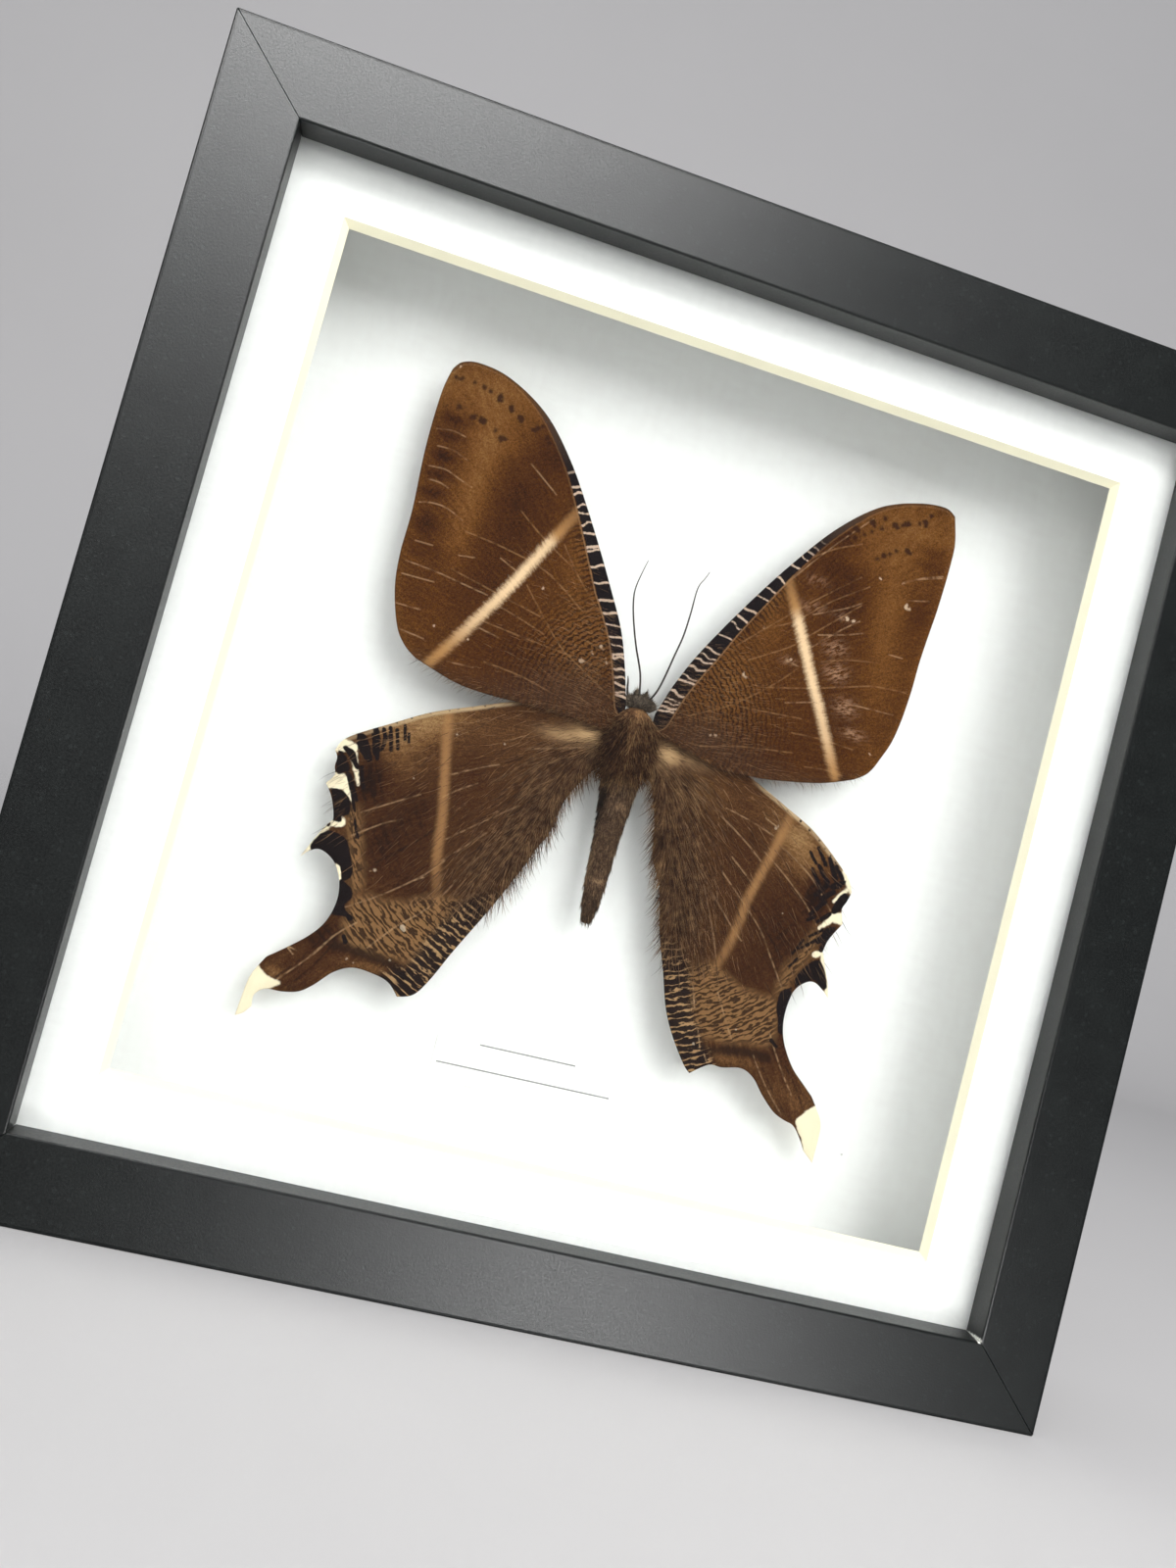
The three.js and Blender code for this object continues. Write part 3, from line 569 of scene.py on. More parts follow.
wingBuild = {
    "edgeStep": 0.28, "cell": 0.27, "underCell": 2.5, "edgeHalf": 0.05, "midHalf": 0.17, "edgeReach": 1.2,
    "rise": 1.2, "root": 4.0, "span": 50.0, "tailDrop": 1.4, "tailStart": 40.0, "tailLength": 25.0,
    "veinLift": 0.07, "veinReach": 0.45, "ripple": 0.05,
}


def wingRise(spots):
    b = wingBuild
    along = np.clip((np.abs(spots[:, 0]) - b["root"]) / b["span"], 0, 1)
    tail = np.maximum(0, (-spots[:, 1] - b["tailStart"]) / b["tailLength"])
    return b["rise"] * np.sin(np.pi * along) - b["tailDrop"] * tail ** 2


def wingTop(spots, wing):  # height of the upper face before veins
    ripple = wingBuild["ripple"] * np.sin(spots[:, 0] * 0.9 + spots[:, 1] * 0.35) * np.cos(spots[:, 1] * 0.5)
    return wing["sheet"] + wingRise(spots) + wingBuild["midHalf"] + ripple


def fillSheet(outline, cell):
    low, high = outline.min(0), outline.max(0)
    rows = np.arange(low[1], high[1], cell * math.sqrt(0.75))
    grid = []
    for i, y in enumerate(rows):
        columns = np.arange(low[0] + (i % 2) * cell / 2, high[0], cell)
        grid.append(np.column_stack([columns, np.full(len(columns), y)]))
    grid = np.vstack(grid)
    grid = grid[insideRing(grid, outline)]
    gap, _ = pathDistance(grid, np.vstack([outline[::2], outline[:1]]))
    grid = grid[gap > 0.6 * min(cell, 1.0)]
    count = len(outline)
    points = [Vector(p) for p in np.vstack([outline, grid])]
    edges = [(i, (i + 1) % count) for i in range(count)]
    flat, _, faces, origins, _, _ = delaunay_2d_cdt(points, edges, [], 1, 1e-7)
    rim = [0] * count
    for place, source in enumerate(origins):
        for index in source:
            if index < count:
                rim[index] = place
    flat = np.array([tuple(p) for p in flat])
    faces = [tuple(f) for f in faces]
    a, b, c = (flat[[f[k] for f in faces]] for k in range(3))
    turned = np.cross(b - a, c - a) < 0
    faces = [f[::-1] if t else f for f, t in zip(faces, turned)]
    return flat, faces, rim


def wingOutline(wing):
    runs = [smoothPath(stretch, wingBuild["edgeStep"]) for stretch in wing["edge"]]
    outline = np.vstack([run[:-1] for run in runs] + [runs[-1][-1:]])
    area = np.sum(outline[:, 0] * np.roll(outline[:, 1], -1) - outline[:, 1] * np.roll(outline[:, 0], -1))
    return outline if area > 0 else outline[::-1]


def setAttribute(mesh, name, values):
    kind = "FLOAT_VECTOR" if values.ndim == 2 else "FLOAT"
    field = mesh.attributes.new(name, kind, "POINT")
    field.data.foreach_set("vector" if values.ndim == 2 else "value", values.astype(np.float32).ravel())


def makePiece(name, vertices, faces, material, node):
    mesh = bpy.data.meshes.new(name)
    mesh.from_pydata([tuple(v) for v in vertices], [], faces)
    mesh.shade_smooth()
    mesh.materials.append(material)
    piece = bpy.data.objects.new(name, mesh)
    scene.collection.objects.link(piece)
    settle(piece, node)
    return piece


def settle(piece, node):
    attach(piece, "root")
    if node:
        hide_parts(node)


def makeWing(wing, fields, material):
    b = wingBuild
    outline = wingOutline(wing)
    top, topFaces, topRim = fillSheet(outline, b["cell"])
    under, underFaces, underRim = fillSheet(outline, b["underCell"])
    closed = np.vstack([outline[::2], outline[:1]])
    layers = []
    for spots, side in ((top, 1), (under, -1)):
        rim, _ = pathDistance(spots, closed)
        t = np.clip(rim / b["edgeReach"], 0, 1)
        half = b["edgeHalf"] + (b["midHalf"] - b["edgeHalf"]) * t * t * (3 - 2 * t)
        height = wingTop(spots, wing) - b["midHalf"] + side * half
        if side > 0:
            veinGap = pathsDistance(spots, wing["veins"])
            height += b["veinLift"] * np.exp(-(veinGap / b["veinReach"]) ** 2) * t
        layers.append(np.column_stack([spots, height]))
    shift = len(top)
    faces = topFaces + [tuple(i + shift for i in f[::-1]) for f in underFaces]
    count = len(outline)
    for i in range(count):
        j = (i + 1) % count
        faces.append((topRim[i], underRim[i] + shift, underRim[j] + shift))
        faces.append((topRim[i], underRim[j] + shift, topRim[j]))
    piece = makePiece(wing["name"], toWorld(np.vstack(layers)), faces, material, wing["node"])
    flat = np.vstack([top, under])
    upper = np.arange(len(flat)) < shift
    for name, values in fields(flat, upper, wing).items():
        setAttribute(piece.data, name, values)
    print(wing["name"], len(faces), "faces")
    return piece


def polarField(spots, root):  # distance from the wing's root, and the arc about it
    offset = spots - np.array(root)
    radius = np.linalg.norm(offset, axis=1)
    arc = np.arctan2(offset[:, 0], -offset[:, 1]) * arcUnit
    return np.column_stack([radius, arc, np.zeros(len(spots))])


# Forewings

forewingLeft = {
    "name": "left_forewing", "node": "forewing_left", "sheet": 0.0, "side": -1, "root": (-3.4, 7.5),
    "seed": 4,
    "edge": [
        [(-3.4, 9.6), (-5.4, 16.2), (-8.1, 23.1), (-12.2, 30.2), (-18.3, 40), (-25.2, 50), (-32.2, 57.5),
         (-40, 61.9), (-46.2, 63.1), (-49.6, 62.4), (-51.1, 60.6)],
        [(-51.1, 60.6), (-51.9, 55.6), (-52, 45.2), (-51.3, 33.5), (-51.3, 25), (-50.5, 18.5),
         (-48.3, 12), (-46, 8.9), (-43.5, 7.2)],
        [(-43.5, 7.2), (-36, 5), (-30, 4.4), (-22, 4.6), (-14, 4.8), (-8, 4.2), (-3.4, 4)],
    ],
    "band": [
        (-21.8, 42), (-25.2, 35.2), (-27.7, 30.2), (-30.2, 25.2), (-32.7, 20.6), (-35.2, 16.4),
        (-37.7, 12.2), (-41, 7),
    ],
    "bandLevel": [(0, 0.35), (4, 0.6), (8, 0.95), (18, 1.0), (30, 0.9), (40, 0.7)],
    "bars": [
        11, 12, 13, 14.5, 16, 18.1, 18.8, 20, 21.7, 23.6, 25.9, 28, 30.9, 33.8, 36.4, 37, 38.9, 40.8,
        42.2, 43.6, 45.5, 46.6, 49,
    ],
    "stripWidth": [
        (9, 1.5), (20, 1.8), (30, 2.2), (36, 1.9), (42, 1.5), (50, 1.0), (56, 0.8), (62, 0.3),
    ],
    "spots": [
        (-50.1, 59.2, 0.25), (-49, 59.3, 0.32), (-46.6, 59.3, 0.15), (-44.7, 59, 0.28),
        (-43.3, 58.6, 0.28), (-41.3, 58.2, 0.42), (-41.2, 57.5, 0.36), (-38.9, 56.8, 0.34),
        (-38.7, 56.3, 0.26), (-36.8, 55.4, 0.45), (-36.5, 55.1, 0.34), (-33.7, 54.1, 0.36),
        (-33.2, 54.6, 0.25), (-32.3, 55.2, 0.25), (-48, 54, 0.35), (-45.1, 53.1, 0.38),
        (-43.6, 52.9, 0.4), (-43.1, 52.9, 0.42), (-40.5, 51.8, 0.22), (-39.1, 50.7, 0.5),
        (-38.7, 50.8, 0.4), (-31, 53.3, 0.3), (-30.5, 52.5, 0.3),
    ],
    "veins": [
        [(-6.6, 10.2), (-13.9, 14.1), (-18.3, 16.6), (-22.7, 20.8), (-27.5, 25.9)],
        [(-16, 15.6), (-24, 16.2), (-33.9, 17.2)], [(-22.7, 20.8), (-31, 22.5), (-41.6, 24.8)],
        [(-12.2, 24.5), (-15.5, 27.3), (-19.3, 31), (-22.7, 35.2)],
        [(-14.3, 25.8), (-16, 24.3), (-20, 26.8), (-26, 29.8), (-34, 31.4), (-41, 32.2)],
        [(-19.8, 31.4), (-26.8, 35.2), (-32.2, 38.9)], [(-17.7, 7.9), (-24, 9.3), (-31.4, 10)],
        [(-22, 18), (-27, 19.5), (-31, 20.5)],
    ],
    "streaks": [
        [(-28, 27), (-33.5, 29.3)], [(-26.6, 43.7), (-32.7, 47.9)],
        [(-51, 49), (-48, 49.5), (-45.5, 49)], [(-50, 46), (-47, 46), (-44, 45)],
        [(-50.5, 42), (-47.5, 42.2), (-44.5, 41.2), (-42, 40.4)], [(-50, 39.6), (-48, 39.6), (-46, 39)],
        [(-50.5, 35), (-48.5, 35.5), (-45.5, 35.4), (-42, 34)], [(-49.3, 28), (-46, 28)],
        [(-41, 27.6), (-38, 28)], [(-50, 24), (-44, 23.5), (-38, 22.6), (-34, 22)],
        [(-50, 21.5), (-44, 21.6)], [(-50, 16), (-45, 16)], [(-48, 11.6), (-43, 11)],
        [(-30, 15), (-34, 15.8)], [(-33, 8.4), (-38, 8.2)],
    ],
    "flecks": [
        (-14, 15.3, 0.38), (-13.6, 15.2, 0.3), (-10.9, 18.9, 0.28), (-10.5, 18.6, 0.2),
        (-9.6, 17.2, 0.2), (-9.2, 16.4, 0.16), (-24.5, 26.6, 0.14), (-24.4, 26.2, 0.12),
        (-35.2, 13.2, 0.15), (-42, 13.9, 0.14), (-49.8, 61.4, 0.16), (-12.4, 17.4, 0.2),
    ],
    "light": [
        (-44, 58.5, 14, 5.5, 0.3), (-41.5, 42, 3.4, 12, 0.3), (-39, 50, 6, 4, 0.16),
        (-42, 30, 3, 6, 0.1), (-14, 20, 8, 10, 0.26), (-19, 36, 3, 7, 0.2), (-45, 12, 5, 4, 0.06),
        (-33, 40, 5.5, 10, -0.16), (-36, 24, 6, 8, -0.1), (-29, 51, 4, 4, -0.16),
        (-48, 51.6, 3, 1.1, -0.26), (-48, 48.4, 2.6, 1, -0.22), (-48.3, 44.5, 2.4, 1.1, -0.26),
        (-48.5, 40.8, 2.4, 0.9, -0.2), (-48.3, 37.5, 2.2, 1, -0.2), (-48.2, 31.5, 2.6, 2, -0.2),
        (-46.5, 27, 2.5, 1.5, -0.12), (-28, 12, 9, 5, -0.06),
    ],
    "grey": [(-13, 9, 9, 4, 0.9), (-24, 6.5, 9, 2.5, 0.4)],
}

forewingRight = {
    "name": "right_forewing", "node": "forewing_right", "sheet": 0.0, "side": 1, "root": (2.2, 7.5),
    "seed": 9,
    "edge": [
        [(2.4, 9.6), (3.8, 14.2), (5.4, 18.4), (7.9, 23.8), (13.3, 33.4), (20, 44), (27.1, 53.6),
         (34.6, 60.5), (42.1, 63.8), (47.9, 64.8), (50.4, 63.8)],
        [(50.4, 63.8), (51.7, 59.2), (52, 55), (51.7, 45.9), (50.8, 35), (50.5, 26.3), (49.5, 18.4),
         (47.6, 13.1), (45.9, 10), (43.4, 8.1)],
        [(43.4, 8.1), (37.5, 5.8), (30, 4.1), (24, 3.2), (17, 3), (11, 4.4), (6, 5.6), (2.4, 5.5)],
    ],
    "band": [
        (20.4, 42), (23.3, 36.8), (25.8, 32.2), (28.3, 27.6), (30.8, 23), (33.3, 18.8), (35.8, 14.2),
        (39.6, 7.6),
    ],
    "bandLevel": [(0, 0.35), (4, 0.65), (9, 1.0), (20, 1.0), (32, 0.9), (40, 0.75)],
    "bars": [
        10.6, 11.4, 12.3, 13.3, 15, 17.3, 18.5, 20.3, 22, 23.3, 24.8, 27.8, 30.8, 32.3, 34, 37, 39, 41.6,
        44.6, 46.9, 48, 49.2, 50.8,
    ],
    "stripWidth": [
        (9, 2.2), (16, 2.2), (24, 2.4), (30, 2.0), (38, 1.7), (44, 1.3), (50, 1.0), (58, 0.7), (63, 0.3),
    ],
    "spots": [
        (45.4, 62.2, 0.3), (44.6, 60.6, 0.5), (44.8, 60.2, 0.4), (43.5, 59.9, 0.25), (41.2, 59.3, 0.4),
        (40.7, 59, 0.35), (40.1, 58.6, 0.22), (38.6, 58.1, 0.45), (39.1, 57.8, 0.3), (36.3, 58.8, 0.3),
        (36.2, 56.8, 0.3), (34, 57.3, 0.42), (34.4, 56.8, 0.3), (34.2, 55.5, 0.28), (33, 54.5, 0.25),
        (30.8, 55.2, 0.42), (31.4, 54.9, 0.35), (30, 53.8, 0.4), (31.2, 53.3, 0.3), (42.4, 54.1, 0.42),
        (42.9, 53.9, 0.3), (40.2, 53.3, 0.25), (39, 52.3, 0.25), (37.9, 51.7, 0.38), (36.8, 50.7, 0.25),
    ],
    "veins": [
        [(6.5, 9.9), (11, 12.4), (16, 15.3), (22.1, 20.5), (26.7, 25.5)],
        [(22.1, 20.5), (30, 22.6), (38, 25.2), (43, 26.7), (49.5, 27.3)],
        [(16, 15.3), (22, 15.8), (30, 16.5)], [(28.8, 13.4), (35, 13.8), (41.7, 13.6)],
        [(13.8, 26.3), (19.6, 32.2), (27, 39.5), (34.6, 46.3)],
        [(20, 32), (23.8, 34.2), (30, 40), (36.7, 45)], [(17, 24.5), (24.2, 29.2), (28, 33), (36, 41)],
        [(33, 7.8), (37, 8.3), (40.8, 8.2)], [(10, 6.2), (13, 6.3), (20, 8.2), (30, 9.7)],
        [(31, 28.2), (36, 30), (42, 31.2)], [(24, 47), (28, 50), (33, 52.5)],
    ],
    "streaks": [
        [(43, 47.6), (46.5, 49.6), (51, 51.2)], [(43.2, 47.9), (47, 50), (51, 51.6)],
        [(45, 44.8), (49.5, 46)], [(27, 36.5), (33, 39.5), (36, 41.5)], [(29, 33), (34, 34.5), (38, 36)],
        [(27, 26), (24, 26.5)], [(26, 18.6), (32, 20.4)], [(16, 34), (22, 43), (28, 51), (34, 58)],
        [(28, 30), (33, 35), (36.5, 38)], [(40, 22), (48, 22.4)], [(44, 33.5), (47, 33.6)],
    ],
    "flecks": [
        (34, 37.7, 0.35), (35.2, 37.6, 0.25), (45, 43.5, 0.45), (45.6, 43.3, 0.3), (45.4, 13.7, 0.28),
        (14.5, 8.8, 0.25), (13.6, 8.7, 0.16), (16.8, 21.6, 0.35), (17.3, 21.4, 0.25), (18.3, 31.4, 0.16),
        (24.3, 26.6, 0.3), (25, 26.9, 0.2), (38.3, 47.2, 0.2),
    ],
    "rubbed": [
        (33, 31.5, 2.2, 1.5, 0.7), (34.5, 27, 2.2, 1.6, 0.9), (38, 21, 2.2, 1.6, 0.9),
        (41, 16.5, 2.2, 1, 0.8), (26.5, 38, 2.5, 1, 0.5), (26, 43, 2, 1, 0.4), (33, 37.7, 1.5, 0.7, 0.6),
        (24.5, 26.6, 1.4, 0.8, 0.6),
    ],
    "light": [
        (43, 58.5, 13, 6, 0.28), (42, 42, 4, 9, 0.26), (44, 28, 4, 9, 0.14), (37, 51, 6, 4, 0.16),
        (14, 19, 8, 10, 0.26), (19, 36, 3, 7, 0.2), (33, 40, 5, 8, -0.14), (28, 47, 5, 4, -0.1),
        (29, 52.5, 3, 1.8, -0.2), (48, 55.4, 3, 1.3, -0.24), (48, 52.6, 3, 1, -0.18),
        (47.5, 43, 3, 3, -0.12), (45, 39, 3, 3, -0.06), (36, 18, 6, 6, -0.08), (28, 9, 9, 4, -0.06),
        (46, 14, 3, 4, 0.06),
    ],
    "grey": [(12, 8, 9, 3.5, 0.9), (23, 5.5, 9, 2.2, 0.4)],
}


forewingMarks = {"stripScale": 1.35, "spotGrowth": 0.18, "ground": 0.42, "marginGlow": 0.12,
                 "rootReach": 15.0}


def forewingFields(spots, upper, wing):
    f = forewingMarks
    draw = np.random.default_rng(wing["seed"])
    costaPath = smoothPath(wing["edge"][0], 0.4)
    costa, along = pathDistance(spots, costaPath)
    marks = np.concatenate([[0], np.cumsum(np.linalg.norm(np.diff(costaPath, axis=0), axis=1))])
    height = np.interp(along, marks, costaPath[:, 1])
    strip = costa - f["stripScale"] * np.interp(height, *zip(*wing["stripWidth"]))
    bars = np.full(len(spots), farAway)
    for level in wing["bars"]:
        middle = np.interp(level, costaPath[:, 1], marks)
        lean, bow, half = draw.uniform(0.05, 0.45), draw.uniform(-0.15, 0.25), draw.uniform(0.13, 0.25)
        gap = np.abs(along - middle - lean * costa - bow * np.sin(costa * 2.4))
        bars = np.minimum(bars, gap - half)
    bandPath = smoothPath(wing["band"], 0.6)
    band, bandAlong = pathDistance(spots, bandPath)
    margin, _ = pathDistance(spots, smoothPath(wing["edge"][1], 0.6))
    inner, _ = pathDistance(spots, smoothPath(wing["edge"][2], 0.6))
    level = pools(spots, f["ground"], wing["light"]) + f["marginGlow"] * np.exp(-(margin / 1.2) ** 2)
    grey = np.clip(pools(spots, 0, wing["grey"]) + 0.35 * np.exp(-(inner / 2) ** 2), 0, 1)
    rootward = np.exp(-(np.linalg.norm(spots - np.array(wing["root"]), axis=1) / f["rootReach"]) ** 2)
    brim = np.exp(-(inner / 1.1) ** 2)
    flow = np.column_stack([wing["side"] * (0.95 - 0.45 * brim), 0.1 - 0.8 * brim, np.full(len(spots), 0.1)])
    return {
        "polar": polarField(spots, wing["root"]), "costa": costa, "strip": strip, "bars": bars, "band": band,
        "bandLevel": np.interp(bandAlong, *zip(*wing["bandLevel"])), "height": height,
        "spots": strokeDistance(spots, dotStrokes(wing["spots"])) - f["spotGrowth"],
        "flecks": strokeDistance(spots, dotStrokes(wing["flecks"])),
        "rubbed": np.clip(pools(spots, 0, wing.get("rubbed", [])), 0, 1),
        "veinGap": pathsDistance(spots, wing["veins"]), "streaks": pathsDistance(spots, wing["streaks"]),
        "level": level, "grey": grey,
        "hairy": np.where(upper, np.clip(grey * 0.4 + rootward + 0.7 * brim, 0, 1), 0),
        "flow": toWorldDirection(flow),
    }


def forewingScales():
    material, bench, shader, coord = newMaterial("forewing_scales", Specular_IOR_Level=0.04)
    read = bench.attribute
    polar = read("polar", "Vector")
    radius = bench.split(polar)[0]
    grain = bench.group(scaleGrain, Coord=coord, Cells=6500.0)
    rays = bench.noise(bench.mapping(polar, size=(0.22, 2.2, 1)), 1.0, 4.0, 0.6)
    tone = bench.sway(grain["Speckle"], 0.75, read("level"))
    tone = bench.sway(rays, 0.42, tone)
    colour = bench.ramp(tone, [(0.0, "1c0b02"), (0.25, "341804"), (0.48, "4c2a0a"), (0.72, "66411b"),
                               (1.0, "7f5b33")])

    lines = bench.group(striae, Polar=polar, Spacing=0.95, Wobble=1.7, Fill=0.42, Breaks=0.9)["Mask"]
    basal = bench.ease(radius, 15.0, 33.0, 0.9, 0.0)
    besideCosta = bench.times(bench.ease(read("costa"), 2.5, 7.5, 0.9, 0.0),
                             bench.ease(read("height"), 36.0, 50.0, 1.0, 0.0))
    outerLines = bench.times(bench.ease(read("level"), 0.36, 0.2), 0.35)
    lineShare = bench.math("MAXIMUM", bench.math("MAXIMUM", basal, besideCosta), outerLines)
    colour = bench.mix(bench.times(lines, lineShare), colour, shade("1d0c04"))
    colour = bench.mix(bench.times(read("grey"), 0.6), colour, shade("412c20"))

    rub = bench.times(read("rubbed"), bench.ease(bench.noise(
        bench.mapping(polar, size=(0.6, 2.6, 1)), 1.0, 4.0, 0.7), 0.42, 0.6))
    colour = bench.mix(bench.times(rub, 0.8), colour, shade("a98467"))
    worn = bench.ease(bench.noise(coord, 700.0, 3.0), 0.35, 0.6, 0.15, 1.0)
    vein = bench.times(bench.ease(read("veinGap"), 0.05, 0.24, 0.42, 0.0), worn)
    colour = bench.mix(vein, colour, shade("94704a"))
    streak = bench.times(bench.ease(read("streaks"), 0.03, 0.24, 0.55, 0.0), worn)
    colour = bench.mix(streak, colour, shade("a38362"))

    frayed = bench.sway(grain["Speckle"], 0.8, read("band"))
    frayed = bench.sway(rays, 1.3, frayed)
    bandMask = bench.times(bench.ease(frayed, 0.15, 1.6, 0.95, 0.0), read("bandLevel"))
    bandTone = bench.mix(bench.ease(read("bandLevel"), 0.75, 1.0), shade("ab7f4f"), shade("dcbc95"))
    colour = bench.mix(bandMask, colour, bandTone)

    spotMask = bench.marking(coord, "spots", 0.3, 0.9, 1500.0)
    colour = bench.mix(bench.times(spotMask, 0.9), colour, shade("2a1408"))

    stripLine = bench.math("ABSOLUTE", bench.math("SUBTRACT", read("strip"), 0.2))
    lineFade = bench.ease(read("height"), 36.0, 50.0, 0.55, 0.2)
    colour = bench.mix(bench.times(bench.ease(stripLine, 0.05, 0.22, 1.0, 0.0), lineFade), colour,
                       shade("8d6c4b"))
    stripMask = bench.marking(coord, "strip", 0.14, 0.5, 1800.0)
    stripTone = bench.mix(bench.ease(read("height"), 48.0, 56.0), shade("150f10"), shade("3a2b22"))
    fade = bench.ease(read("height"), 54.0, 63.0, 1.0, 0.35)
    colour = bench.mix(bench.times(stripMask, fade), colour, stripTone)
    barMask = bench.marking(coord, "bars", 0.09, 0.42, 2600.0)
    barMask = bench.times(barMask, stripMask)
    barMask = bench.times(barMask, bench.ease(read("height"), 46.0, 51.5, 0.9, 0.15))
    colour = bench.mix(barMask, colour, shade("c2a893"))

    fleckMask = bench.marking(coord, "flecks", 0.16, 1.3, 1500.0)
    colour = bench.mix(bench.times(fleckMask, 0.55), colour, shade("d3b99c"))
    bench.plug(shader.inputs["Base Color"], colour)
    bench.plug(shader.inputs["Roughness"], bench.ease(grain["Speckle"], 0.2, 0.8, 0.62, 0.85))
    bench.plug(shader.inputs["Normal"], bench.bump(grain["Height"], 0.35, 0.00008))
    return material


forewingFinish = forewingScales()
leftForewing = makeWing(forewingLeft, forewingFields, forewingFinish)
rightForewing = makeWing(forewingRight, forewingFields, forewingFinish)

# Hindwings

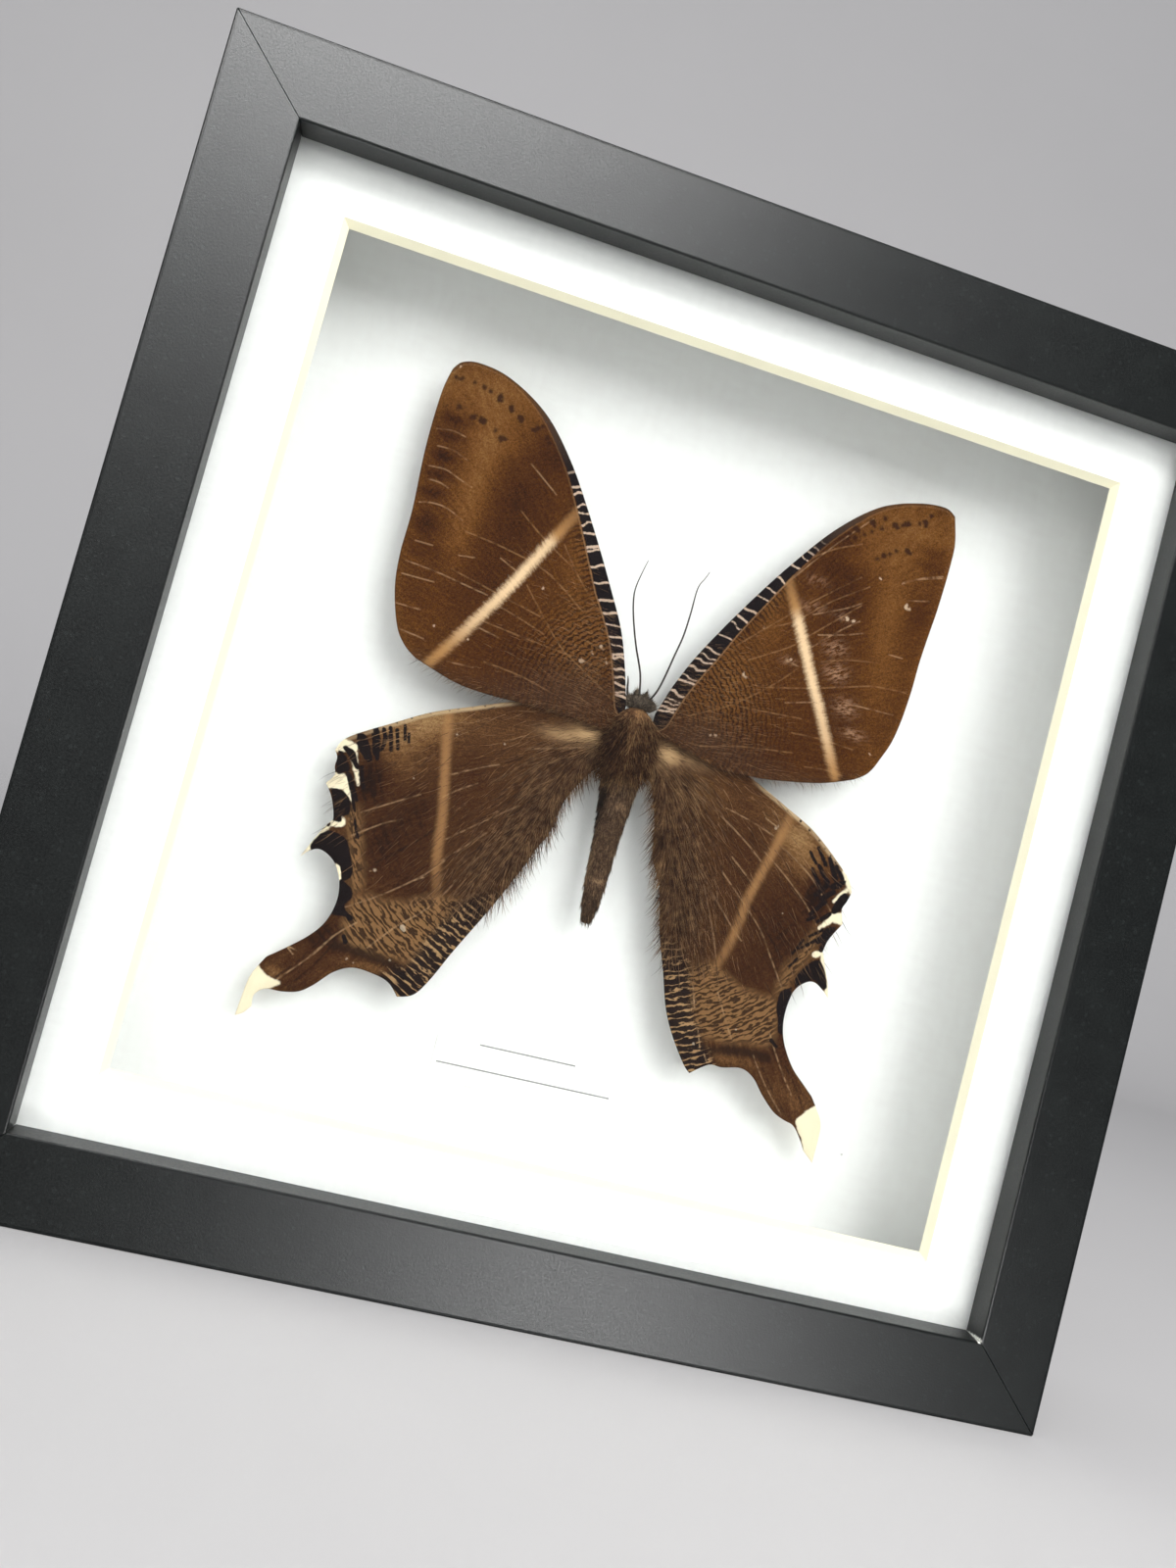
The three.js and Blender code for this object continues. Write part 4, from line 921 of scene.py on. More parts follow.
hindwingLeft = {
    "name": "left_hindwing", "node": "hindwing_left", "sheet": -1.2, "side": -1, "root": (-4.0, 1.5),
    "edge": [
        [(-3, 6), (-9, 8), (-17, 7), (-24, 4.6), (-30.4, 1.9), (-38.1, -1.5), (-44.5, -5.4),
         (-49.9, -8.8), (-52.2, -10.8), (-53, -12.8)],
        [(-53, -12.8), (-52.3, -14), (-52.3, -15.6), (-51.9, -17.2), (-53, -19)],
        [(-53, -19), (-51.5, -21), (-50.4, -23.5), (-50, -25)],
        [(-50, -25), (-51.2, -27), (-52.6, -29.9), (-53.9, -33.1)],
        [(-53.9, -33.1), (-52.6, -31.6), (-50.8, -30.9), (-48.6, -31.8), (-47, -33.5), (-45.8, -36.2),
         (-45.5, -39.5), (-46.4, -43.2), (-48.5, -46.3), (-52, -49.6), (-54.9, -52)],
        [(-54.9, -52), (-56.5, -55.3), (-57, -57.6), (-57.5, -63.6)],
        [(-57.5, -63.6), (-56.2, -62.8), (-55.1, -61.3)],
        [(-55.1, -61.3), (-55.2, -59.2), (-53.6, -57.7), (-50.4, -57.4), (-47.6, -56.6), (-45.4, -54.8),
         (-42.6, -51.7), (-39.4, -50.1), (-34.9, -50.4), (-32.4, -51.3), (-30.4, -53.3)],
        [(-30.4, -53.3), (-27.6, -52.2), (-25.4, -48.8), (-22.6, -42.6), (-18.1, -33.5), (-14.5, -25.4),
         (-12.6, -20.5), (-11.2, -17.5), (-9.9, -10.8), (-7.6, -6), (-5.4, -3.1), (-2.5, -2)],
    ],
    "band": [(-35.3, 0.5), (-34, -6), (-32.5, -13), (-31, -20), (-30.3, -26), (-29, -31), (-27.6, -36)],
    "bandLevel": [(0, 0.55), (5, 0.8), (12, 0.9), (24, 0.9), (31, 0.7), (36, 0.3)],
    "costaShown": [(-22, 0.0), (-25, 0.9), (-36, 0.9), (-44, 0.7), (-49, 0.5)],
    "costaDots": [
        (-29, 2.4, 0.22), (-31, 1.5, 0.16), (-33.5, 0.5, 0.18), (-35, -0.3, 0.14), (-38.2, -1.7, 0.24),
        (-40, -2.7, 0.14), (-41.3, -3.5, 0.22), (-42.5, -4.3, 0.14), (-43.6, -5, 0.2), (-45, -5.9, 0.15),
    ],
    "blackPatches": [
        [(-49.9, -8.9), (-48.6, -8.7), (-47.8, -9.7), (-46.9, -11.2), (-46.2, -12.9), (-47, -13.2),
         (-48, -12.3), (-49.2, -11.2)],
        [(-52.3, -13.6), (-51.2, -13.3), (-50.3, -14.2), (-49.6, -15.6), (-50.6, -16.2), (-51.3, -16.8),
         (-51.9, -15.8)],
        [(-51.8, -19.8), (-50.2, -19.6), (-48.6, -20.4), (-47.8, -21.8), (-47.7, -23.4), (-48.8, -24),
         (-48.6, -25), (-49.8, -25.2), (-50.4, -24.6), (-50.6, -22.5), (-51.2, -21)],
        [(-50, -27.2), (-48.4, -27.4), (-46.6, -28.3), (-45.4, -30.5), (-44.2, -33.5), (-44.8, -34.9),
         (-45.6, -35), (-46.4, -33), (-47.6, -32.4), (-48.6, -31.6), (-50, -31), (-52.4, -31.2),
         (-52.2, -29.5), (-51.2, -28)],
        [(-45.8, -35.3), (-43.6, -36.4), (-43.2, -38), (-44, -39.5), (-43.2, -41.2), (-44.5, -41.4),
         (-46, -41.4), (-46, -39)],
    ],
    "blackStrokes": [
        (-47.1, -6.9, -46.2, -8.8, 0.42, 0.4), (-46.2, -8.8, -45.3, -12.3, 0.4, 0.28),
        (-47.2, -8.2, -46, -11.6, 0.2, 0.22), (-45.6, -6.8, -44.8, -8.4, 0.25, 0.32),
        (-44.8, -8.4, -45, -10.6, 0.32, 0.2), (-44.5, -6.2, -43.9, -8, 0.25, 0.3),
        (-43.9, -8, -43.3, -10.2, 0.3, 0.22), (-43.2, -6.3, -42.2, -9.6, 0.25, 0.18),
        (-42, -5.2, -41.4, -7.7, 0.2, 0.16), (-41, -6.4, -40.6, -8, 0.14, 0.1),
        (-51.4, -11.9, -50, -12.6, 0.3, 0.6), (-50, -12.6, -48.4, -14.8, 0.6, 0.3),
        (-52.2, -12.9, -51.6, -13, 0.14, 0.2), (-49.6, -16.4, -48.2, -19, 0.3, 0.3),
        (-48.4, -18.6, -46.7, -22.6, 0.28, 0.14), (-49, -16.8, -46.8, -20.6, 0.2, 0.12),
        (-47.6, -14.5, -46.4, -18, 0.2, 0.3), (-46.3, -24.2, -44.8, -27.2, 0.16, 0.1),
        (-50.6, -26.1, -50.6, -26.2, 0.3, 0.26), (-43.2, -41, -42.4, -41.6, 0.3, 0.4),
        (-42.6, -45, -42, -46, 0.3, 0.3),
    ],
    "creamStrokes": [
        (-53.2, -11.6, -50, -11.6, 1.5, 0.9), (-50, -11.8, -47.4, -17.8, 0.75, 0.2),
        (-53, -18.3, -49.8, -18, 1.7, 1.3), (-49.8, -18.2, -47.4, -21, 0.9, 0.25),
        (-50.9, -25.6, -48.6, -25.2, 0.9, 0.9), (-50.6, -26.3, -53.7, -32.8, 0.5, 0.45),
        (-54, -33.2, -51, -31, 0.5, 0.2), (-47.1, -33, -45.9, -35.2, 0.5, 0.35),
        (-48.8, -24.2, -49.4, -24.3, 0.25, 0.25),
    ],
    "creamTip": [
        (-56.6, -53.2), (-54.4, -55), (-52.4, -55.6), (-51.2, -56), (-53, -57.6), (-54.6, -58.8),
        (-54.6, -62), (-58.4, -65), (-58.4, -57),
    ],
    "tanStrokes": [
        (-47, -22.5, -45.4, -27, 1.0, 1.2), (-45.4, -27, -43.6, -32, 1.2, 1.2),
        (-43.6, -32, -42.8, -36, 1.2, 1.0),
    ],
    "tanPatch": [
        (-42.5, -37), (-36, -36.5), (-29, -34), (-24, -33), (-22.5, -38), (-25.5, -46), (-31, -47),
        (-41.5, -46.3), (-43, -43),
    ],
    "hem": [(-43.5, -47), (-38, -47.2), (-32.5, -48), (-30, -49.5)],
    "veins": [
        [(-18, -2.8), (-13, -1.3), (-8, 0.3)], [(-31.5, -11.5), (-27, -9), (-23.5, -7.4)],
        [(-32, -16), (-30, -14.2), (-26.5, -11.8)],
        [(-29.5, -23.3), (-25, -19.5), (-21, -16.2), (-18, -13.8)],
        [(-29.2, -27.3), (-26.5, -24.5), (-22.5, -20.2)], [(-26, -30.5), (-24, -27), (-22.8, -25)],
        [(-45.5, -22.5), (-40, -19), (-36, -16.5)], [(-46, -27), (-41, -23.3), (-38, -21.8)],
        [(-44, -40), (-38, -36), (-32, -31), (-28.5, -27)],
        [(-38, -46), (-34, -41), (-29.5, -36.5), (-26, -31)], [(-47.5, -50), (-44, -45), (-41, -42)],
        [(-52, -55.5), (-47, -49.5), (-44.5, -45.5)],
    ],
    "folds": [
        [(-46, -35), (-41, -31), (-35, -25.5), (-30.5, -20.5)],
        [(-47.5, -28.8), (-44.5, -26.6), (-43, -25)], [(-53, -56), (-49, -51), (-46, -46)],
        [(-50, -56.6), (-46.5, -51.5), (-44, -47)],
    ],
    "streaks": [
        [(-50, -49.6), (-52, -49.2), (-50.4, -50.4)], [(-33, -32), (-31.5, -31)],
        [(-40, -32), (-41.2, -32.4)],
    ],
    "flecks": [
        (-32.8, -40.8, 0.5), (-32.4, -41.2, 0.35), (-40.4, -32, 0.3), (-32.5, -4.2, 0.22),
        (-23.6, -3.5, 0.2), (-41, -48.8, 0.22), (-39.6, -49.2, 0.18), (-33.4, -47.2, 0.2),
        (-38, -14, 0.12),
    ],
    "light": [
        (-39, -3.5, 5, 3.6, 0.42), (-43, -8, 4, 3, 0.3), (-33, -1, 5, 3, 0.16), (-40, -12, 5, 3, 0.12),
        (-37, -22, 7, 9, -0.14), (-45.5, -16.5, 2.6, 4, -0.32), (-28, -12, 4, 9, -0.06),
        (-33, -34, 6, 4, -0.1), (-41, -28, 4, 5, -0.1), (-24, -2, 10, 4, 0.06), (-46, -46, 5, 4, -0.2),
        (-49.5, -54, 4, 3, -0.1), (-53, -54.3, 1.6, 1.2, 0.3), (-37, -49.3, 7, 1.0, 0.16),
    ],
    "bald": [(-8.5, 2.6, 3.5, 1.4, 0.95), (-13.5, 1, 4, 1.2, 0.65), (-6, 0, 2, 2.5, 0.4)],
}

hindwingRight = {
    "name": "right_hindwing", "node": "hindwing_right", "sheet": -1.2, "side": 1, "root": (2.6, 1.5),
    "edge": [
        [(2, 6), (8, 7), (16, 5.2), (22, 3.6), (26.1, 2.1), (31.8, -0.4), (38.2, -3.3), (43.6, -7),
         (48, -10.6), (49.4, -13)],
        [(49.4, -13), (48.9, -15), (48.3, -16.8), (49.2, -19.4)],
        [(49.2, -19.4), (48, -21.4), (47, -23.5), (46.6, -25.6)],
        [(46.6, -25.6), (48, -28.5), (49.2, -31), (50.1, -34)],
        [(50.1, -34), (48.7, -32.8), (46.6, -31.7), (44.8, -32.1), (43, -34), (42.3, -37), (42.4, -40.8),
         (43.6, -44.4), (46.5, -48.5), (50, -51.5), (52, -53.1)],
        [(52, -53.1), (53.8, -55.4), (55.6, -58.6), (56, -65.8)],
        [(56, -65.8), (54.8, -64.8), (53.6, -63.9)],
        [(53.6, -63.9), (52, -61.6), (50, -59.5), (47.7, -58.8), (45.2, -57.7), (42, -55), (39.3, -52.2),
         (36.4, -51), (32.7, -51.7), (30, -51.8), (26.8, -54.2)],
        [(26.8, -54.2), (25.2, -52.8), (21.6, -48), (19, -43.2), (16.7, -36.7), (14.1, -29.5),
         (12, -21.7), (9.3, -16.7), (8.2, -11.5), (6.6, -6), (5, -2.8), (2, -2)],
    ],
    "band": [(33.4, -1.4), (32, -8), (30.5, -14), (29, -20), (28.5, -25), (27.5, -30), (25.4, -36)],
    "bandLevel": [(0, 0.6), (5, 0.85), (14, 0.95), (24, 0.9), (31, 0.65), (36, 0.25)],
    "costaShown": [(24, 0.0), (28, 0.8), (38, 0.9), (44, 0.7), (48, 0.5)],
    "costaDots": [
        (32.4, -1.1, 0.16), (35.5, -2.3, 0.28), (37.7, -3.5, 0.3), (40.2, -5, 0.22), (41.7, -6.2, 0.2),
        (43.2, -7.2, 0.2), (44.6, -8.3, 0.22),
    ],
    "blackPatches": [
        [(48, -13.5), (49, -13.8), (48.9, -15), (48, -16.8), (46.8, -17.9), (46.2, -17.2), (46.8, -15.4),
         (47.3, -14.2)],
        [(47.9, -20.4), (47.8, -21.6), (46.9, -23.5), (46.6, -25.5), (45.8, -25.6), (45.9, -24),
         (45, -24.3), (44.4, -23.9), (45.4, -22.5), (46.2, -21)],
        [(46.2, -27.3), (47.6, -28.6), (48.6, -30.4), (49.2, -32.2), (48, -32.2), (46.6, -31.2),
         (45.2, -31.6), (43.9, -32.6), (43.1, -33.4), (42.5, -32), (43.4, -30), (44.8, -28.2)],
        [(42.2, -33.8), (40.5, -34.8), (40.2, -36.5), (40.4, -38.5), (41.2, -40.3), (41.8, -42.5),
         (42.9, -42.5), (42.8, -39), (42.6, -36)],
        [(47.6, -11.2), (46.9, -12.6), (45.6, -13.3), (44.6, -13.1), (45.4, -12.2), (46.6, -11.5)],
    ],
    "blackStrokes": [
        (39, -7.6, 40.6, -9.4, 0.22, 0.22), (40.4, -6.4, 42.7, -9.2, 0.25, 0.3),
        (41.4, -9.7, 44, -12.4, 0.3, 0.45), (43.2, -7.8, 45.3, -11.2, 0.3, 0.5),
        (45, -9, 46.7, -10.8, 0.35, 0.35), (40.2, -10.6, 42.4, -13.4, 0.25, 0.35),
        (45.8, -13.9, 43.6, -15.6, 0.35, 0.45), (44, -13.2, 42.2, -15.2, 0.35, 0.4),
        (46, -18.2, 44, -20.2, 0.3, 0.25), (44.4, -16.2, 42.2, -19, 0.35, 0.35),
        (43.2, -19.4, 41.8, -20.4, 0.25, 0.2), (45.4, -21.6, 43, -23.4, 0.22, 0.15),
        (44.4, -23.9, 41.6, -26.2, 0.2, 0.12), (42, -24.4, 40.6, -27.4, 0.2, 0.12),
        (41.8, -28, 40.6, -30, 0.15, 0.12), (40.8, -44.4, 42.2, -45.4, 0.3, 0.2),
    ],
    "creamStrokes": [
        (46.8, -9.8, 49.2, -12.8, 0.45, 0.6), (48.6, -12.4, 46.2, -15.6, 0.5, 0.35),
        (49.4, -18.4, 47, -18.6, 1.4, 0.9), (47, -18.8, 44.6, -21.2, 0.6, 0.3),
        (46.6, -25.8, 45.2, -26.4, 0.5, 0.6), (46.6, -26, 50, -33.6, 0.45, 0.45),
        (50.2, -34, 47.6, -32.6, 0.5, 0.2), (44.2, -33.2, 42.7, -35.2, 0.35, 0.3),
    ],
    "creamTip": [
        (53.6, -54.6), (52, -55.8), (51, -57.2), (50.2, -58.6), (51.4, -60.4), (53.2, -63), (54.4, -66),
        (57.4, -67.4), (56.8, -58),
    ],
    "tanStrokes": [
        (44.5, -22.5, 43, -27, 1.1, 1.3), (43, -27, 41.2, -31, 1.3, 1.2), (41.2, -31, 40, -35, 1.2, 1.0),
    ],
    "tanPatch": [
        (39.6, -36.5), (34, -36.5), (28, -34), (23, -33.5), (20.4, -38), (22, -46), (28, -47),
        (36, -46.4), (40.6, -45.6), (41, -41),
    ],
    "hem": [(41, -48), (36, -47.8), (31, -48.6), (27, -50)],
    "veins": [
        [(7.5, 0), (12, -1.8), (17, -4), (25, -8.5), (30, -12)], [(20.5, -3.8), (26, -5), (31, -6.5)],
        [(24, -12.5), (30, -17)], [(22, -15), (28, -20)], [(18, -16), (22, -20), (27, -25), (30, -27.5)],
        [(28, -20), (33, -24.5), (36, -28.5), (40, -34)], [(20, -19), (24, -27), (26, -32)],
        [(30, -10), (34, -12.5), (40, -17), (44, -21)], [(33, -8), (40, -12), (46, -17.5)],
        [(40, -43), (44, -49), (48, -54)], [(38, -48), (42, -53), (47, -58)],
        [(28, -38), (31, -43), (33, -46)], [(14, -9), (16.5, -15), (19, -20)],
    ],
    "folds": [
        [(45, -48.6), (48.5, -52.5), (51, -56)], [(40.5, -50), (44, -54), (48, -58)],
        [(29, -19.6), (36, -26), (42, -33)],
    ],
    "streaks": [
        [(23, -38), (24.4, -42)], [(26.2, -46), (27.4, -49)], [(28.5, -50), (29.6, -51.6)],
        [(28.5, -3.6), (31, -4.6)],
    ],
    "flecks": [
        (31, -4.9, 0.3), (31.4, -4.4, 0.2), (26, -48.6, 0.25), (33.4, -44, 0.2), (36.6, -20.4, 0.14),
        (20, -15.6, 0.12),
    ],
    "light": [
        (36, -5.5, 4.5, 3.4, 0.4), (40, -9, 4, 3, 0.2), (30, -1, 4, 3, 0.12), (36, -11, 4, 3, 0.1),
        (35, -22, 6, 9, -0.12), (42.6, -15.5, 2.6, 4, -0.34), (26, -12, 4, 9, -0.04),
        (33, -33, 6, 4, -0.1), (39, -26, 3, 5, -0.1), (14, -2, 8, 4, 0.12), (43, -46, 3, 4, -0.14),
        (49, -54.6, 3, 2, 0.12), (44, -54, 3, 3, 0.06), (33, -50, 6, 1.1, 0.16),
    ],
    "bald": [(6.6, 3, 2.6, 2.2, 0.9), (11, 3, 4, 1.4, 0.4), (4.5, -1, 1.6, 2.2, 0.5)],
}


hindwingMarks = {"blackGrowth": 0.12, "ground": 0.40, "greyReach": 8.0, "hairReach": 7.5, "sparse": 0.03}


def hindwingFields(spots, upper, wing):
    f = hindwingMarks
    side = wing["side"]
    costa, _ = pathDistance(spots, smoothPath(wing["edge"][0], 0.6))
    innerPath = smoothPath(wing["edge"][-1], 0.6)
    inner, _ = pathDistance(spots, innerPath)
    bandPath = smoothPath(wing["band"], 0.6)
    band, bandAlong = pathDistance(spots, bandPath)
    black = strokeDistance(spots, wing["blackStrokes"])
    for corners in wing["blackPatches"]:
        black = np.minimum(black, patchDistance(spots, corners))
    cream = np.minimum(strokeDistance(spots, wing["creamStrokes"]), patchDistance(spots, wing["creamTip"]))
    tan = np.minimum(strokeDistance(spots, wing["tanStrokes"]), patchDistance(spots, wing["tanPatch"]))
    shown = np.array(sorted(wing["costaShown"]))
    y = spots[:, 1]
    lowDown = np.clip((-28 - y) / 6, 0, 1)
    tornus = lowDown * np.clip(1.35 - inner / 5.5, 0, 1) * np.clip((y + 60) / 6, 0, 1)
    upDown = np.clip((y + 36) / 10, 0, 1)
    grey = upDown * np.exp(-(inner / f["greyReach"]) ** 2)
    outward = spots - np.array(wing["root"])
    outward /= np.maximum(np.linalg.norm(outward, axis=1), 1e-6)[:, None]
    nearEdge = np.exp(-(inner / 2.2) ** 2)[:, None]
    bend = np.array([[-side * 0.35, -0.94]])
    down = np.array([[side * 0.25, -0.97]])
    way = outward * (1 - nearEdge) * 0.6 + down * (1 - nearEdge) * 0.4 + bend * nearEdge
    flow = np.column_stack([way, np.full(len(spots), 0.14)])
    bald = np.clip(pools(spots, 0, wing["bald"]), 0, 1)
    thick = np.clip(np.exp(-(inner / f["hairReach"]) ** 2) + f["sparse"], 0, 1)
    hairy = np.where(upper, upDown * thick * (1 - bald), 0)
    return {
        "polar": polarField(spots, wing["root"]), "costa": costa, "band": band,
        "bandLevel": np.interp(bandAlong, *zip(*wing["bandLevel"])),
        "costaShown": np.interp(spots[:, 0], shown[:, 0], shown[:, 1]),
        "costaDots": strokeDistance(spots, dotStrokes(wing["costaDots"])),
        "black": black - f["blackGrowth"], "cream": cream, "tan": tan, "tornus": tornus,
        "hem": pathDistance(spots, smoothPath(wing["hem"], 0.6))[0],
        "flecks": strokeDistance(spots, dotStrokes(wing["flecks"])),
        "veinGap": pathsDistance(spots, wing["veins"]), "folds": pathsDistance(spots, wing["folds"]),
        "streaks": pathsDistance(spots, wing["streaks"]),
        "level": pools(spots, f["ground"], wing["light"]), "grey": grey,
        "bald": bald,
        "hairy": hairy, "flow": toWorldDirection(flow),
    }


def hindwingScales():
    material, bench, shader, coord = newMaterial("hindwing_scales", Specular_IOR_Level=0.04)
    read = bench.attribute
    polar = read("polar", "Vector")
    grain = bench.group(scaleGrain, Coord=coord, Cells=6500.0)
    rays = bench.noise(bench.mapping(polar, size=(0.2, 2.6, 1)), 1.0, 4.0, 0.6)
    tone = bench.sway(grain["Speckle"], 0.65, read("level"))
    tone = bench.sway(rays, 0.5, tone)
    colour = bench.ramp(tone, [(0.0, "190b04"), (0.25, "331a09"), (0.45, "472b15"), (0.7, "6d4d2c"),
                               (1.0, "957650")])
    colour = bench.mix(bench.times(read("grey"), 0.5), colour, shade("493322"))

    baldMask = bench.times(read("bald"), bench.ease(rays, 0.25, 0.6, 0.55, 1.0))
    colour = bench.mix(baldMask, colour, shade("b3926a"))
    tanMask = bench.marking(coord, "tan", 1.3, 2.4, 350.0)
    colour = bench.mix(bench.times(tanMask, 0.7), colour, shade("86643f"))
    dashes = bench.group(striae, Polar=polar, Spacing=1.0, Wobble=2.8, Fill=0.48, Breaks=2.8)["Mask"]
    colour = bench.mix(bench.times(bench.times(dashes, tanMask), 0.9), colour, shade("24140b"))
    smudge = bench.group(striae, Polar=polar, Spacing=1.7, Wobble=2.4, Fill=0.45, Breaks=2.4)["Mask"]
    darkField = bench.ease(read("level"), 0.34, 0.16, 0.0, 0.8)
    colour = bench.mix(bench.times(smudge, darkField), colour, shade("1b0e09"))

    hemMask = bench.ease(bench.sway(rays, 1.6, read("hem")), 0.3, 1.5, 0.8, 0.0)
    colour = bench.mix(hemMask, colour, shade("21130b"))
    tornusMask = bench.ease(bench.sway(grain["Speckle"], 0.6, read("tornus")), 0.25, 0.6)
    colour = bench.mix(bench.times(tornusMask, 0.95), colour, shade("191110"))
    rungs = bench.group(striae, Polar=polar, Spacing=1.3, Wobble=2.2, Fill=0.2, Breaks=1.7)["Mask"]
    rungMask = bench.times(bench.times(rungs, tornusMask), bench.ease(read("tornus"), 0.95, 1.25, 0.85, 0.25))
    colour = bench.mix(rungMask, colour, shade("a5835c"))

    worn = bench.ease(bench.noise(coord, 700.0, 3.0), 0.35, 0.6, 0.1, 1.0)
    # painted shade: dark lines along the hindwing's folds, which the sheet does not model as creases
    foldShade = bench.times(bench.ease(read("folds"), 0.08, 0.3, 0.75, 0.0), worn)
    colour = bench.mix(foldShade, colour, shade("1f110a"))
    vein = bench.times(bench.ease(read("veinGap"), 0.06, 0.24, 0.55, 0.0), worn)
    colour = bench.mix(vein, colour, shade("a08160"))
    streak = bench.times(bench.ease(read("streaks"), 0.05, 0.22, 0.7, 0.0), worn)
    colour = bench.mix(streak, colour, shade("a88a68"))

    frayed = bench.sway(grain["Speckle"], 0.8, read("band"))
    frayed = bench.sway(rays, 1.2, frayed)
    bandMask = bench.times(bench.ease(frayed, 0.1, 1.5, 0.9, 0.0), read("bandLevel"))
    colour = bench.mix(bench.times(bandMask, 0.85), colour, shade("9c7349"))

    costaMask = bench.times(bench.ease(read("costa"), 0.4, 1.0, 0.85, 0.0), read("costaShown"))
    colour = bench.mix(costaMask, colour, shade("b39a78"))
    creamMask = bench.marking(coord, "cream", 0.22, 0.7, 1200.0)
    colour = bench.mix(creamMask, colour, shade("e6d9bb"))
    dotMask = bench.marking(coord, "costaDots", 0.08, 0.3, 2600.0)
    blackMask = bench.marking(coord, "black", 0.12, 0.4, 1600.0)
    colour = bench.mix(bench.math("MAXIMUM", dotMask, blackMask), colour, shade("150e0e"))
    fleckMask = bench.marking(coord, "flecks", 0.1, 0.5, 2600.0)
    colour = bench.mix(bench.times(fleckMask, 0.45), colour, shade("cdbca4"))
    bench.plug(shader.inputs["Base Color"], colour)
    bench.plug(shader.inputs["Roughness"], bench.ease(grain["Speckle"], 0.2, 0.8, 0.65, 0.88))
    bench.plug(shader.inputs["Normal"], bench.bump(grain["Height"], 0.35, 0.00008))
    return material


hindwingFinish = hindwingScales()
leftHindwing = makeWing(hindwingLeft, hindwingFields, hindwingFinish)
rightHindwing = makeWing(hindwingRight, hindwingFields, hindwingFinish)

# Body

def loft(rings):  # closed skin over rings of points, with a fan at both ends
    count = len(rings[0])
    points = [p for ring in rings for p in ring] + [np.mean(rings[0], 0), np.mean(rings[-1], 0)]
    faces = []
    for r in range(len(rings) - 1):
        for i in range(count):
            j = (i + 1) % count
            a, b = r * count, (r + 1) * count
            faces.append((a + i, b + i, b + j, a + j))
    first, last = len(points) - 2, len(points) - 1
    end = (len(rings) - 1) * count
    for i in range(count):
        j = (i + 1) % count
        faces.append((first, i, j))
        faces.append((last, end + j, end + i))
    return np.array(points), faces


def turnOutward(piece):
    solid = bmesh.new()
    solid.from_mesh(piece.data)
    bmesh.ops.recalc_face_normals(solid, faces=solid.faces)
    solid.to_mesh(piece.data)
    solid.free()


def ellipseRing(centre, y, rx, rz, around):
    angle = np.arange(around) / around * 2 * np.pi
    return np.stack([centre[0] + rx * np.cos(angle), np.full(around, y), centre[1] + rz * np.sin(angle)], 1)


def ballRings(centre, radii, rings, around, cut):  # closed round form with its poles cut flat
    made = []
    for polar in np.linspace(cut, 1 - cut, rings) * np.pi:
        wide = np.sin(polar)
        y = centre[1] + radii[1] * np.cos(polar)
        made.append(ellipseRing((centre[0], centre[2]), y, radii[0] * wide, radii[2] * wide, around))
    return made


thoraxShape = {"centre": (-0.9, 2.6, -0.6), "radii": (4.7, 7.4, 4.2), "rings": 40, "around": 48, "cut": 0.03,
               "lobes": [(-3.2, 2.2, 1.9, 5.5, 0.55), (1.4, 2.2, 1.8, 5.5, 0.55),
                         (-0.9, 8.2, 3.5, 1.2, 0.35)]}


def makeThorax(material):
    t = thoraxShape
    cx, _, cz = t["centre"]
    rings = ballRings(t["centre"], t["radii"], t["rings"], t["around"], t["cut"])
    for ring in rings:
        for lx, ly, lrx, lry, lift in t["lobes"]:
            swell = lift * np.exp(-((ring[:, 0] - lx) / lrx) ** 2 - ((ring[:, 1] - ly) / lry) ** 2)
            ring[:, 2] += swell * np.clip((ring[:, 2] - cz) / t["radii"][2] + 0.2, 0, 1)
    points, faces = loft(rings)
    piece = makePiece("thorax_core", toWorld(points), faces, material, "thorax")
    turnOutward(piece)
    outward = (points - np.array(t["centre"])) / np.array(t["radii"]) ** 2
    outward /= np.linalg.norm(outward, axis=1)[:, None]
    flow = outward * 0.42 + np.array([0.0, -0.9, 0.0]) + np.column_stack(
        [np.sign(points[:, 0] - cx) * 0.12, np.zeros(len(points)), np.zeros(len(points))])
    level = pools(points[:, :2], 0.42, [(-3.4, 2, 1.8, 5, -0.28), (1.6, 2, 1.6, 5, -0.22),
                                        (-0.9, 5.5, 0.8, 3, 0.25),
                                        (-0.9, 8.8, 4, 1.1, 0.2), (-1.4, -4.6, 1.3, 1, 0.5),
                                        (2.2, -4, 1.4, 1.6, 0.1)])
    setAttribute(piece.data, "hairy", np.ones(len(points)))
    setAttribute(piece.data, "flow", toWorldDirection(flow))
    setAttribute(piece.data, "level", level)
    return piece


headShape = {"centre": (-0.9, 10.9, -0.8), "radii": (2.5, 1.6, 1.8), "eye": 1.15, "eyeSpread": 2.1,
             "cut": 0.04,
             "palp": [(0.8, 0.8, -0.6), (1.0, 1.8, -0.6), (0.9, 2.4, -0.2)]}


